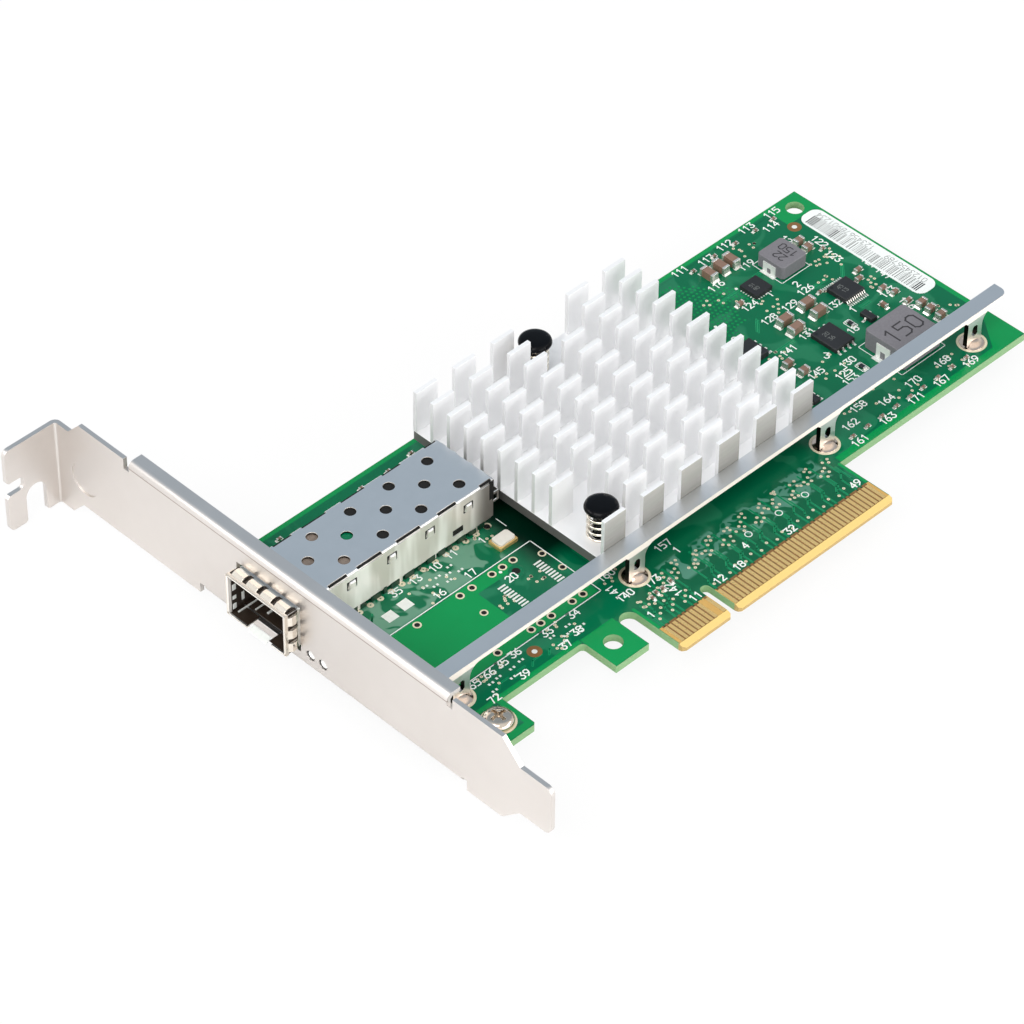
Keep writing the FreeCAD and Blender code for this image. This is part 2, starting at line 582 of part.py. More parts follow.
def make_spring_fingers():
    """Collar round the cage's mouth with arched fingers that touch the bracket's port."""
    t = FINGER_T
    band = box(CAGE_FRONT, CAGE_FRONT + 0.7, CAGE_NEAR - t, CAGE_FAR + t, CAGE_FLOOR - t, CAGE_TOP + t)
    hole = box(CAGE_FRONT - 1, CAGE_FRONT + 2, CAGE_NEAR, CAGE_FAR, CAGE_FLOOR, CAGE_TOP)
    pieces = [band.cut(hole)]
    x0, x1, rise = CAGE_FRONT + 0.6, BRACKET_FACE - 0.1, FINGER_RISE
    for i in range(4):
        pieces.append(finger(x0, x1, CAGE_TOP, rise, 2.5, CAGE_NEAR + 0.7 + i * 3.47))
    middle = V(0, CAGE_Y, (CAGE_TOP + CAGE_FLOOR) / 2 + BOARD_TOP)
    side_base = CAGE_HALF + middle.z - BOARD_TOP
    for i in range(3):
        for angle in (90, -90):
            side = finger(x0, x1, side_base, rise, 1.9, CAGE_Y - 3.9 + i * 2.95)
            side.rotate(middle, V(1, 0, 0), angle)
            pieces.append(side)
    for start in (CAGE_NEAR + 0.6, CAGE_FAR - 2.6):
        lower = finger(x0, x1, CAGE_TOP, rise * 0.6, 2.0, start)
        lower.rotate(middle, V(1, 0, 0), 180)
        pieces.append(lower)
    collar = joined(pieces)
    return collar.cut(box(CAGE_FRONT - 1, BRACKET_FACE, LATCH_Y[0], LATCH_Y[1], 0, 1.2))


def make_connector_housing():
    """Moulded card-edge receptacle with an open slot towards the mouth."""
    near, far = HOUSING_Y
    wall = 0.6
    body = box(HOUSING_X[0], HOUSING_X[1], near, far, 0, HOUSING_TOP)
    slot = box(HOUSING_X[0] - 1, -18.5, near + wall, far - wall, 3.6, 5.6)
    under = box(HOUSING_X[0] - 1, -22.0, near + wall, far - wall, -1, 1.4)
    return body.cut([slot, under])


def make_connector_contacts():
    """Solder tails of the rear contact row."""
    solids = []
    for offset in spread(10, 0.8):
        y = CAGE_Y + offset
        solids.append(box(HOUSING_X[1], HOUSING_X[1] + 0.9, y - 0.15, y + 0.15, 0, 0.2))
    return solids


# --- cooling ---
def make_heat_sink():
    """Base plate and the upright plate fins on it, left out round the two pins.

    The base and each fin are solids of their own that meet face to face.
    """
    base = box(SINK_X[0], SINK_X[1], SINK_Y[0], SINK_Y[1], SINK_BASE[0], SINK_BASE[1])
    left_out = {(3, 0), (3, 1), (0, 9), (0, 10)}
    column_pitch = (SINK_X[1] - SINK_X[0] - FIN_LENGTH) / (FIN_COLUMNS - 1)
    row_pitch = (SINK_Y[1] - SINK_Y[0] - FIN_T) / (FIN_ROWS - 1)
    fins = []
    for column in range(FIN_COLUMNS):
        for row in range(FIN_ROWS):
            if (column, row) in left_out:
                continue
            x = SINK_X[0] + column * column_pitch
            y = SINK_Y[1] - row * row_pitch
            fins.append(box(x, x + FIN_LENGTH, y - FIN_T, y, SINK_BASE[1], FIN_TOP))
    base = base.cut([faceted_post(spot, PUSH_HOLE_R, 2, 5, 10) for spot in (PIN_FRONT, PIN_REAR)])
    return [base] + fins


def make_controller_package():
    substrate = block(PACKAGE_CENTRE, PACKAGE_SIZE, 0, PACKAGE_Z[0])
    lid = block(PACKAGE_CENTRE, LID_SIZE, PACKAGE_Z[0], PACKAGE_Z[1])
    return substrate.fuse(lid).removeSplitter()


def make_push_pin(spot):
    """Moulded pin: domed head, shank, and a split barb under the board."""
    under = -BOARD_T
    profile = [
        (2.4, HEAD_TOP), (HEAD_R, HEAD_TOP - 0.5), (HEAD_R, HEAD_TOP - HEAD_T), (PIN_R, HEAD_TOP - HEAD_T),
        (PIN_R, under - 0.05), (BARB_R, under - 0.3), (1.0, under - BARB_LENGTH),
    ]
    pin = turned(profile, spot)
    return pin.cut(block(spot, (5, 0.6), under - 3, under + 0.9))


def make_pin_spring(spot):
    """Compression spring between the heat sink's base and the pin's head, in short flats."""
    wire_r = SPRING_WIRE_R
    steps = 10 * SPRING_TURNS
    bottom = SINK_BASE[1] + wire_r + BOARD_TOP
    rise = HEAD_TOP - HEAD_T - SINK_BASE[1] - 2 * wire_r
    sections = []
    for i in range(steps + 1):
        angle = 2 * math.pi * SPRING_TURNS * i / steps
        height = bottom + rise * i / steps
        section = []
        for out, up in ((wire_r, 0), (0, wire_r), (-wire_r, 0), (0, -wire_r)):
            reach = SPRING_R + out
            x, y = spot[0] + reach * math.cos(angle), spot[1] + reach * math.sin(angle)
            section.append(V(x, y, height + up))
        sections.append(section)
    faces = [Part.Face(Part.makePolygon(end + end[:1])) for end in (sections[0], sections[-1])]
    for lower, upper in zip(sections, sections[1:]):
        for k in range(4):
            a, b, c, d = lower[k], lower[k - 3], upper[k - 3], upper[k]
            faces.append(Part.Face(Part.makePolygon([a, b, c, a])))
            faces.append(Part.Face(Part.makePolygon([a, c, d, a])))
    return Part.Solid(Part.Shell(faces))


# --- stiffener rail ---
def rail_leg(x):
    """Soldered leg, wider where it leaves the rail, with an oval hole."""
    low_left, low_right = x - LEG_HALF, x + LEG_HALF
    shoulder = RAIL_TOP - RAIL_T - 0.001
    inside = RAIL_TOP - 0.4
    corners = [
        (low_left, 0, 0), (low_right, 0, 0), (low_right, shoulder, LEG_FILLET),
        (low_right + LEG_FILLET + 0.6, shoulder, 0), (low_right + LEG_FILLET + 0.6, inside, 0),
        (low_left - 1.6, inside, 0), (low_left - 1.6, shoulder, 0), (low_left, shoulder, 0.8),
    ]
    leg = plate_y(corners, RAIL_Y[0], RAIL_Y[0] + RAIL_T)
    half, low, high = LEG_HOLE
    oval = plate_y(clipped_rectangle(x - half, x + half, low, high, 0.42), RAIL_Y[0] - 1, RAIL_Y[0] + 2)
    return leg.cut(oval)


def make_rail():
    """Long flat strip on its legs; the outer corner of its far end is rounded off."""
    near, far = RAIL_Y
    outline = [(RAIL_X[0], near, 0.8), (RAIL_X[1], near, 1.6), (RAIL_X[1], far, 0), (RAIL_X[0], far, 0.8)]
    top = plate_z(outline, RAIL_TOP - RAIL_T, RAIL_TOP)
    return joined([top] + [rail_leg(x) for x in LEG_XS])


# --- surface-mounted parts ---
def chips(spots, size, base=0):
    """Bodies and end caps of two-terminal chips; spots are (x, y, along) with along 'x' or 'y'."""
    length, width, height, cap = size
    bodies = []
    caps = []
    for x, y, along in spots:
        flat = (lambda a, b: (a, b)) if along == "x" else (lambda a, b: (b, a))
        bodies.append(block((x, y), flat(length - 2 * cap, width - 0.04), base, base + height - 0.02))
        for side in (-1, 1):
            shift = flat(side * (length - cap) / 2, 0)
            caps.append(block((x + shift[0], y + shift[1]), flat(cap, width), base, base + height))
    return bodies, caps


def gull_lead(x, y, direction, width, rise, reach):
    """Lead that leaves a package at (x, y), slopes down and ends in a foot on the board."""
    t = 0.15
    bend = reach * 0.45
    side = [(0, rise), (bend, t), (reach, t), (reach, 0), (bend * 0.5, 0)]
    dx, dy = direction
    start = V(x - dy * width / 2, y + dx * width / 2, BOARD_TOP)
    points = [start + V(dx * out, dy * out, height) for out, height in side]
    return Part.Face(Part.makePolygon(points + points[:1])).extrude(V(dy * width, -dx * width, 0))


def leaded_package(centre, size, height, sides, lead_width, reach):
    """Moulded body and its gull-wing leads; sides maps a direction to lead offsets."""
    body = block(centre, size, 0.1, height)
    body = body.makeChamfer(0.12, [e for e in body.Edges if is_top_edge(e, height)])
    leads = []
    for direction, offsets in sides:
        for offset in offsets:
            x = centre[0] + direction[0] * size[0] / 2 + offset * abs(direction[1])
            y = centre[1] + direction[1] * size[1] / 2 + offset * abs(direction[0])
            leads.append(gull_lead(x, y, direction, lead_width, height * 0.55, reach))
    return body, leads


def is_top_edge(edge, height):
    box_z = edge.BoundBox
    return abs(box_z.ZMin - height - BOARD_TOP) < 1e-6 and abs(box_z.ZMax - height - BOARD_TOP) < 1e-6


def spread(count, pitch):
    """Offsets of evenly spaced items about a centre."""
    return [(i - (count - 1) / 2) * pitch for i in range(count)]


def make_inductor(centre, size, top, width):
    """Pressed powder core with chamfered upright corners and bare metal end plates."""
    half_x, half_y = size[0] / 2, size[1] / 2
    left, right = centre[0] - half_x, centre[0] + half_x
    outline = clipped_rectangle(left, right, centre[1] - half_y, centre[1] + half_y, 0.45)
    core = plate_z(outline, 0.15, top)
    plates = []
    near, far = centre[1] - width / 2, centre[1] + width / 2
    for side in (-1, 1):
        face = centre[0] + side * half_x
        outer = face + side * TERMINAL_T
        wall = box(face, outer, near, far, 0, top * 0.72)
        foot = box(outer, face - side * 1.6, near, far, 0, 0.15)
        plates.append(joined([wall, foot]))
    return core, plates


def make_label():
    outline = clipped_rectangle(LABEL_X[0], LABEL_X[1], LABEL_Y[0], LABEL_Y[1], 0.8)
    return plate_z(outline, 0, LABEL_T)


def save_chips(name, spots, size, base=0):
    bodies, caps = chips(spots, size, base)
    save(name + "_bodies", bodies)
    save(name + "_end_caps", caps)


def make_leds():
    """Two right-angle indicator housings and the lenses that reach into the bracket."""
    housings = []
    lenses = []
    for y in LED_YS:
        housings.append(box(-57.0, -53.6, y - 1.25, y + 1.25, 0, 2.1))
        lenses.append(across(faceted_post((0, 0), LENS_R, 0, 1.6, 8), -58.6, y, LED_Z))
    return housings, lenses


def save_leaded(name, centre, size, height, sides, lead_width, reach):
    body, leads = leaded_package(centre, size, height, sides, lead_width, reach)
    save(name + "_body", body)
    save(name + "_leads", leads)


def save_inductor(name, spot, terminal_width):
    centre, size, height = spot
    core, plates = make_inductor(centre, size, height, terminal_width)
    save(name + "_core", core)
    save(name + "_terminals", plates)


def save_surface_parts():
    save_chips("large_capacitor", LARGE_CAPS, CHIP_1206)
    save_chips("medium_capacitor", MEDIUM_CAPS, CHIP_0805)
    save_chips("small_capacitor", SMALL_CAPS, CHIP_0603)
    lower_row = tuple((x, LOWER_ROW_Y, "x") for x in LOWER_ROW_XS)
    save_chips("tiny_capacitor", TINY_CAPS + lower_row, CHIP_0402)
    save_chips("chip_resistor", RESISTORS, FILM_0603)
    # decoupling chips under the controller, on the board's far face
    x_step, y_step = UNDERSIDE_PITCH[0] / 2, UNDERSIDE_PITCH[1] / 2
    x_mid, y_mid = PACKAGE_CENTRE
    under = [(x_mid + i * x_step, y_mid + j * y_step, "x") for i in (-1, 1) for j in (-1, 1)]
    save_chips("underside_capacitor", under, CHIP_0402, -BOARD_T - CHIP_0402[2])
    fine, wide, narrow = spread(10, 0.5), spread(4, 1.27), spread(3, 0.95)
    save_leaded("logic_chip", (73.95, 42.8), (5.0, 4.7), 1.1, [(UP, fine), (DOWN, fine)], 0.22, 0.85)
    save_leaded("power_stage", (62.6, 35.6), (4.95, 6.15), 1.0, [(UP, wide), (DOWN, wide)], 0.42, 0.5)
    save_leaded("transistor", (71.6, 35.1), (1.5, 2.9), 1.0, [(LEFT, [0]), (RIGHT, narrow[::2])], 0.4, 0.55)
    save_leaded("flash_chip", (49.3, 43.0), (3.9, 4.9), 1.4, [(LEFT, wide), (RIGHT, wide)], 0.42, 1.0)
    three_a_side = [(LEFT, narrow), (RIGHT, narrow)]
    save_leaded("supervisor_chip", (48.05, 27.2), (1.6, 2.9), 1.0, three_a_side, 0.4, 0.6)
    save("regulator", block(REGULATOR[0], REGULATOR[1], 0, REGULATOR[2]))
    save_inductor("small_inductor", SMALL_INDUCTOR, 3.0)
    save_inductor("large_inductor", LARGE_INDUCTOR, 3.2)
    base_top, lid_top = CRYSTAL_Z
    left, right = CRYSTAL_X
    near, far = CRYSTAL_Y
    rim = 0.25
    lid = clipped_rectangle(left + rim, right - rim, near + rim, far - rim, 0.3)
    save("crystal_base", box(left, right, near, far, 0, base_top))
    save("crystal_lid", plate_z(lid, base_top, lid_top))
    save("label", make_label())
    housings, lenses = make_leds()
    save("led_housings", housings)
    save("led_lenses", lenses)


def main():
    save("printed_circuit_board", make_board())
    save("edge_contacts", make_edge_contacts())
    save("bracket", make_bracket())
    save("bracket_screws", make_bracket_screws())
    save("sfp_cage_base", make_cage_base())
    save("sfp_cage_cover", make_cage_cover())
    save("sfp_spring_fingers", make_spring_fingers())
    save("sfp_connector_housing", make_connector_housing())
    save("sfp_connector_contacts", make_connector_contacts())
    save("heat_sink", make_heat_sink())
    save("thermal_pad", block(PACKAGE_CENTRE, PAD_SIZE, PACKAGE_Z[1], SINK_BASE[0]))
    save("controller_package", make_controller_package())
    for name, spot in (("front", PIN_FRONT), ("rear", PIN_REAR)):
        save("push_pin_" + name, make_push_pin(spot))
        save("push_pin_spring_" + name, make_pin_spring(spot))
    save("stiffener_rail", make_rail())
    save_surface_parts()


main()
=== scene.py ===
import math
import random

import bmesh
import bpy
from mathutils import Matrix, Vector


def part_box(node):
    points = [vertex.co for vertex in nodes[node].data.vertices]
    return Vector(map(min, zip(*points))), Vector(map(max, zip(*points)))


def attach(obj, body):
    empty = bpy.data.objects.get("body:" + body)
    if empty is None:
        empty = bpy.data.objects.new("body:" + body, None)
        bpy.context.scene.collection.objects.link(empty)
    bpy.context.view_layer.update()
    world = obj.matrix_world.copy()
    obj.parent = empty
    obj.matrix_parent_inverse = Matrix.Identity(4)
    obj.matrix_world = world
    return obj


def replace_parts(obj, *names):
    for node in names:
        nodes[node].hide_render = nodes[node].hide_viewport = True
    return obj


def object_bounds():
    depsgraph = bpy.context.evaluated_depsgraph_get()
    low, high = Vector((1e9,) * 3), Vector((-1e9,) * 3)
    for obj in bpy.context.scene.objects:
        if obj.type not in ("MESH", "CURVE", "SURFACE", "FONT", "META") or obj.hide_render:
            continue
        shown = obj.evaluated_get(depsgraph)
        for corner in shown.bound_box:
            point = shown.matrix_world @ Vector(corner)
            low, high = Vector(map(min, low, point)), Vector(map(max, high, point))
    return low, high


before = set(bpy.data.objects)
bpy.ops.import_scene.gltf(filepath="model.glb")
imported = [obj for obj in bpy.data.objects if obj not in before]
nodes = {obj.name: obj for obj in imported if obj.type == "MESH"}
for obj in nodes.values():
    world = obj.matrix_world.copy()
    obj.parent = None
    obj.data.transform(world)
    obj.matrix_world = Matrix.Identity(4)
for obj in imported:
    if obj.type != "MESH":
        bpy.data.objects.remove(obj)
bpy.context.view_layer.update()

MM = 0.001
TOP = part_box("printed_circuit_board")[1].z / MM      # component face of the board, mm


# --- colour, nodes and patterns --------------------------------------------

A, B = 6, 7                                  # the two colour inputs of a Mix node


def linear(code):
    """Linear colour of an sRGB hex value."""
    values = [int(code[i:i + 2], 16) / 255 for i in (1, 3, 5)]
    return [v / 12.92 if v <= 0.04045 else ((v + 0.055) / 1.055) ** 2.4 for v in values] + [1.0]


def feed(tree, node, inputs):
    """Fill a node's inputs, each with a value, a hex colour, a socket or another node's live output."""
    for name, value in inputs.items():
        if isinstance(value, bpy.types.Node):
            value = next(socket for socket in value.outputs if socket.enabled)
        if isinstance(value, bpy.types.NodeSocket):
            tree.links.new(value, node.inputs[name])
        else:
            node.inputs[name].default_value = linear(value) if isinstance(value, str) else value


def add(tree, kind, inputs=None, **settings):
    """Add one node with its settings and links."""
    node = tree.nodes.new("ShaderNode" + kind)
    for name, value in settings.items():
        setattr(node, name, value)
    feed(tree, node, inputs or {})
    return node


def new_material(name, **values):
    """Material with one principled shader; returns the material, its tree and the shader."""
    material = bpy.data.materials.new(name)
    material.use_nodes = True
    tree = material.node_tree
    shader = tree.nodes["Principled BSDF"]
    feed(tree, shader, {key.replace("_", " "): value for key, value in values.items()})
    return material, tree, shader


def millimetres(tree):
    """Object position in millimetres."""
    place = add(tree, "TexCoord").outputs["Object"]
    return add(tree, "VectorMath", {0: place, "Scale": 1 / MM}, operation="SCALE")


def facing(tree):
    """The direction a face looks in, as separate X, Y and Z."""
    return add(tree, "SeparateXYZ", {0: add(tree, "NewGeometry").outputs["True Normal"]})


def within(tree, where, low, high, soft):
    """1 inside a box given by two corners in mm, falling to 0 over a soft margin outside it."""
    centre = [(a + b) / 2 for a, b in zip(low, high)]
    half = [(b - a) / 2 for a, b in zip(low, high)]
    off = add(tree, "VectorMath", {0: where, 1: centre}, operation="SUBTRACT")
    beyond = add(tree, "VectorMath", {0: off}, operation="ABSOLUTE")
    past = add(tree, "VectorMath", {0: beyond, 1: half}, operation="SUBTRACT")
    side = add(tree, "SeparateXYZ", {0: past})
    wide = add(tree, "Math", {0: side.outputs["X"], 1: side.outputs["Y"]}, operation="MAXIMUM")
    most = add(tree, "Math", {0: wide, 1: side.outputs["Z"]}, operation="MAXIMUM")
    return add(tree, "MapRange", {"Value": most, "From Max": soft, "To Min": 1.0, "To Max": 0.0})


def drift(tree, where, light, dark, size_mm, detail=3.0):
    """Colour that drifts between two tones, in patches of a real size."""
    noise = add(tree, "TexNoise", {"Vector": where, "Scale": 1 / size_mm, "Detail": detail})
    return add(tree, "Mix", {"Factor": noise, A: light, B: dark}, data_type="RGBA")


def rough_from(tree, shader, low, high, size_mm):
    """Vary the roughness between two values, in patches of a real size."""
    noise = add(tree, "TexNoise", {"Vector": millimetres(tree), "Scale": 1 / size_mm, "Detail": 4.0})
    feed(tree, shader, {"Roughness": add(tree, "MapRange", {"Value": noise, "To Min": low, "To Max": high})})


def grain(tree, shader, size_mm, depth_mm, stretch=(1, 1, 1)):
    """Fine relief of a real grain size and depth."""
    scaled = add(tree, "VectorMath", {0: millimetres(tree), 1: stretch}, operation="MULTIPLY")
    noise = add(tree, "TexNoise", {"Vector": scaled, "Scale": 1 / size_mm, "Detail": 2.0})
    bump = add(tree, "Bump", {"Height": noise, "Distance": depth_mm * MM, "Strength": 1.0})
    feed(tree, shader, {"Normal": bump})


def finish(name, tones, patch_mm, rough, rough_mm, relief=None, **values):
    """Material whose colour and roughness drift in patches of a real size, with a relief where it has one."""
    material, tree, shader = new_material(name, **values)
    feed(tree, shader, {"Base Color": drift(tree, millimetres(tree), *tones, patch_mm)})
    rough_from(tree, shader, *rough, rough_mm)
    if relief:
        grain(tree, shader, *relief)
    return material


# --- sheet metal, heat sink and board --------------------------------------

def satin_nickel_steel():
    # Nickel-plated sheet steel, tumbled: a warm pale metal with a soft, faintly brushed sheen, and
    # a fine dark line of painted shade along the fold of the long flange.
    material, tree, shader = new_material("satin nickel-plated steel", Metallic=1.0)
    where = millimetres(tree)
    tone = drift(tree, where, "#e2ddd9", "#d6d0cb", 14.0)
    # Painted shade: a fine dark line along the fold of the long flange.
    line = within(tree, where, (-60, 8.8, 14.44), (-58.8, 86.0, 14.56), 0.08)
    share = add(tree, "Math", {0: line, 1: 0.75}, operation="MULTIPLY")
    fold_shaded = add(tree, "Mix", {"Factor": share, A: tone, B: "#8a7466"}, data_type="RGBA")
    feed(tree, shader, {"Base Color": fold_shaded})
    rough_from(tree, shader, 0.36, 0.44, 3.0)
    grain(tree, shader, 0.12, 0.0016)
    return material


def tinned_cage_steel():
    # Tin-plated sheet: the rolled top mirrors softly; the folded sides are satin and slightly wavy, and
    # painted light gives them a brighter, warmer, less metallic tone than the top, with painted
    # reflections as upright streaks, and painted shade darkens them toward the heat sink.
    material, tree, shader = new_material("tin-plated cage sheet")
    where = millimetres(tree)
    level = add(tree, "Math", {0: facing(tree).outputs["Z"]}, operation="ABSOLUTE")
    upright = add(tree, "VectorMath", {0: where, 1: (1.0, 1.0, 0.15)}, operation="MULTIPLY")
    flow = add(tree, "TexNoise", {"Vector": upright, "Scale": 0.32, "Detail": 2.0})
    # Painted reflections: upright streaks between a bright and a darker tone, on the sides only.
    reflection_bands = add(tree, "MapRange", {"Value": flow, "From Min": 0.4, "From Max": 0.62})
    lit_side_tone = add(tree, "Mix", {"Factor": reflection_bands, A: "#fffaf4", B: "#d6cfc5"}, data_type="RGBA")
    top_tone = add(tree, "Mix", {"Factor": flow, A: "#e8e8e8", B: "#dedfdf"}, data_type="RGBA")
    # Painted shade darkens the sides toward the rear, by the heat sink.
    along = add(tree, "SeparateXYZ", {0: where}).outputs["X"]
    rear = add(tree, "MapRange", {"Value": along, "From Min": -20.0, "From Max": -15.2, "To Max": 0.85},
               interpolation_type="SMOOTHSTEP")
    shaded = add(tree, "Mix", {"Factor": rear, A: lit_side_tone, B: "#5b524a"}, data_type="RGBA")
    tone = add(tree, "Mix", {"Factor": level, A: shaded, B: top_tone}, data_type="RGBA")
    metal = add(tree, "MapRange", {"Value": level, "To Min": 0.22, "To Max": 1.0})
    streaks = add(tree, "VectorMath", {0: where, 1: (1.0, 1.0, 0.12)}, operation="MULTIPLY")
    wave = add(tree, "TexNoise", {"Vector": streaks, "Scale": 0.45, "Detail": 2.0})
    depth = add(tree, "MapRange", {"Value": level, "To Min": 0.5, "To Max": 0.0})
    bump = add(tree, "Bump", {"Height": wave, "Distance": 0.25 * MM, "Strength": depth})
    feed(tree, shader, {"Base Color": tone, "Metallic": metal, "Roughness": 0.3, "Normal": bump})
    return material


def rail_steel():
    # Zinc-plated steel strip: cool grey, low gloss, fine grain; a painted highlight makes the sheared front
    # lip bright, and painted shade darkens the narrow sides of the legs and the faces turned down.
    material, tree, shader = new_material("zinc-plated rail steel")
    where = millimetres(tree)
    flat = drift(tree, where, "#e0e1e2", "#d6d7d8", 9.0)
    look = facing(tree)
    height = add(tree, "SeparateXYZ", {0: where}).outputs["Z"]
    # Painted highlight on the front lip above 6.4 mm; painted shade on faces turned to the bracket or down.
    high = add(tree, "Math", {0: height, 1: 6.4}, operation="GREATER_THAN")
    front = add(tree, "Math", {0: look.outputs["Y"], 1: -0.5}, operation="LESS_THAN")
    lip_highlight = add(tree, "Math", {0: front, 1: high}, operation="MULTIPLY")
    lit = add(tree, "Mix", {"Factor": lip_highlight, A: flat, B: "#fff3ea"}, data_type="RGBA")
    narrow = add(tree, "Math", {0: look.outputs["X"], 1: -0.7}, operation="LESS_THAN")
    under = add(tree, "Math", {0: look.outputs["Z"], 1: -0.3}, operation="LESS_THAN")
    unlit = add(tree, "Math", {0: narrow, 1: under}, operation="MAXIMUM")
    colour = add(tree, "Mix", {"Factor": unlit, A: lit, B: "#1b1714"}, data_type="RGBA")
    metal = add(tree, "MapRange", {"Value": lip_highlight, "To Min": 1.0, "To Max": 0.15})
    feed(tree, shader, {"Base Color": colour, "Metallic": metal})
    rough_from(tree, shader, 0.34, 0.42, 2.0)
    grain(tree, shader, 0.15, 0.0015)
    return material


def etched_aluminium():
    # Etched and clear-anodised aluminium: matte, almost white, with a faint extrusion grain; painted shade
    # greys the row of fins that faces the rail, darker toward its foot, and the base's rim, which have no
    # bright neighbour, and darkens the fins' ends that face the bracket.
    material, tree, shader = new_material("etched anodised aluminium", Metallic=0.3)
    where = millimetres(tree)
    tone = drift(tree, where, "#fcfcfc", "#f5f5f6", 25 / 3)
    drawn = add(tree, "VectorMath", {0: where, 1: (0.35, 1.0, 3.0)}, operation="MULTIPLY")
    # Painted shade: grey tones for the row of fins facing the rail, darker toward its foot, and for the
    # base's rim.
    crest_shade = drift(tree, drawn, "#c2c1be", "#b0afac", 1.25)
    foot = drift(tree, drawn, "#8b8a84", "#797872", 1.25)
    spot = add(tree, "SeparateXYZ", {0: where})
    look = facing(tree)
    rise = add(tree, "MapRange", {"Value": spot.outputs["Z"], "From Min": 8.5, "From Max": 14.0})
    row_shade = add(tree, "Mix", {"Factor": rise, A: foot, B: crest_shade}, data_type="RGBA")
    rim = add(tree, "Math", {0: spot.outputs["Z"], 1: 5.2}, operation="LESS_THAN")
    shade_tone = add(tree, "Mix", {"Factor": rim, A: row_shade, B: "#676664"}, data_type="RGBA")
    front = add(tree, "Math", {0: spot.outputs["Y"], 1: 20.8}, operation="LESS_THAN")
    upright = add(tree, "Math", {0: look.outputs["Z"], 1: 0.3}, operation="LESS_THAN")
    toward_rail = add(tree, "Math", {0: look.outputs["Y"], 1: -0.5}, operation="LESS_THAN")
    row = add(tree, "Math", {0: front, 1: toward_rail}, operation="MULTIPLY")
    either = add(tree, "Math", {0: row, 1: rim}, operation="MAXIMUM")
    share = add(tree, "Math", {0: either, 1: upright}, operation="MULTIPLY")
    turned = look.outputs["X"]
    # Painted shade darkens faces turned toward the bracket, the fins' ends.
    end = add(tree, "MapRange", {"Value": turned, "From Min": -0.6, "From Max": -0.9, "To Max": 0.22})
    end_shaded = add(tree, "Mix", {"Factor": end, A: tone, B: "#8b8c90"}, data_type="RGBA")
    colour = add(tree, "Mix", {"Factor": share, A: end_shaded, B: shade_tone}, data_type="RGBA")
    feed(tree, shader, {"Base Color": colour})
    rough_from(tree, shader, 0.4, 0.48, 1.5)
    grain(tree, shader, 0.14, 0.001, (0.25, 1.0, 1.0))
    return material


# Blots painted on the glossy mask, as two corners and the soft margin of each region in mm, the size of
# its blots in mm, where in the noise they start, their strength and their colour: painted reflections of
# the cage's wall, a darker patch by the contacts, painted reflections of the fins, and painted shade
# between cage and heat sink.
MASK_BLOTS = (((-52, 36.8, -9), (-19, 43.6, 9), 1.0, 5.0, 0.47, 0.5, "#8db7a2"),
              ((-9, 6.5, -9), (37, 16.0, 9), 2.0, 9.0, 0.0, 0.45, "#004a2e"),
              ((-2, 11.2, -9), (36, 16.4, 9), 0.6, 2.6, 0.5, 0.5, "#6fa896"),
              ((-13.6, 33.0, -9), (-5.0, 60.0, 9), 4.0, 9.0, 0.0, 0.97, "#001f14"))
MASK = dict(IOR=1.5, Specular_IOR_Level=0.16, Coat_Weight=0.12, Coat_Roughness=0.05)


def solder_mask_board():
    # Light-cured solder mask over copper: deep green and glossy on the faces, with painted milky
    # reflections in patches all over and in blots where it mirrors its neighbours, a darker patch by the
    # contacts and painted shade between cage and heat sink; the sawn glass-epoxy edge is pale, dull and
    # faintly layered, and gold along the contacts' bevel.
    material, tree, shader = new_material("solder mask on FR4", **MASK)
    where = millimetres(tree)
    copper = drift(tree, where, "#006243", "#006f46", 18.0, 2.0)
    # Painted milky reflection: patches all over the face lightened toward a paler green.
    patch = add(tree, "TexNoise", {"Vector": where, "Scale": 1 / 7.0, "Detail": 1.0, "Distortion": 0.8})
    thin = add(tree, "MapRange", {"Value": patch, "From Min": 0.55, "From Max": 0.6, "To Max": 0.32})
    face = add(tree, "Mix", {"Factor": thin, A: copper, B: "#3a8f6a"}, data_type="RGBA")
    # Each blot is a painted reflection, a darker patch or painted shade, as listed in MASK_BLOTS.
    for low, high, soft, size_mm, start, most, code in MASK_BLOTS:
        blot = add(tree, "TexNoise",
                   {"Vector": where, "Scale": 1 / size_mm, "Detail": 1.0, "Distortion": 1.2})
        sharp = add(tree, "MapRange",
                    {"Value": blot, "From Min": start, "From Max": start + 0.05, "To Max": most})
        region = within(tree, where, low, high, soft)
        share = add(tree, "Math", {0: sharp, 1: region}, operation="MULTIPLY")
        face = add(tree, "Mix", {"Factor": share, A: face, B: code}, data_type="RGBA")
    layers = add(tree, "VectorMath", {0: where, 1: (0.4, 0.4, 6.0)}, operation="MULTIPLY")
    edge = drift(tree, layers, "#7aa372", "#92b586", 1.0, 2.0)
    level = add(tree, "Math", {0: facing(tree).outputs["Z"]}, operation="ABSOLUTE")
    is_face = add(tree, "Math", {0: level, 1: 0.97}, operation="GREATER_THAN")
    spot = add(tree, "SeparateXYZ", {0: where})
    near = add(tree, "Math", {0: spot.outputs["Y"], 1: 1.4}, operation="LESS_THAN")
    bevel = add(tree, "Math", {0: level, 1: 0.5}, operation="GREATER_THAN")
    golden = add(tree, "Mix", {"Factor": bevel, A: "#bea26a", B: "#e6c67c"}, data_type="RGBA")
    side = add(tree, "Mix", {"Factor": near, A: edge, B: golden}, data_type="RGBA")
    colour = add(tree, "Mix", {"Factor": is_face, A: side, B: face}, data_type="RGBA")
    rough = add(tree, "MapRange", {"Value": is_face, "To Min": 0.6, "To Max": 0.28})
    feed(tree, shader, {"Base Color": colour, "Roughness": rough})
    return material


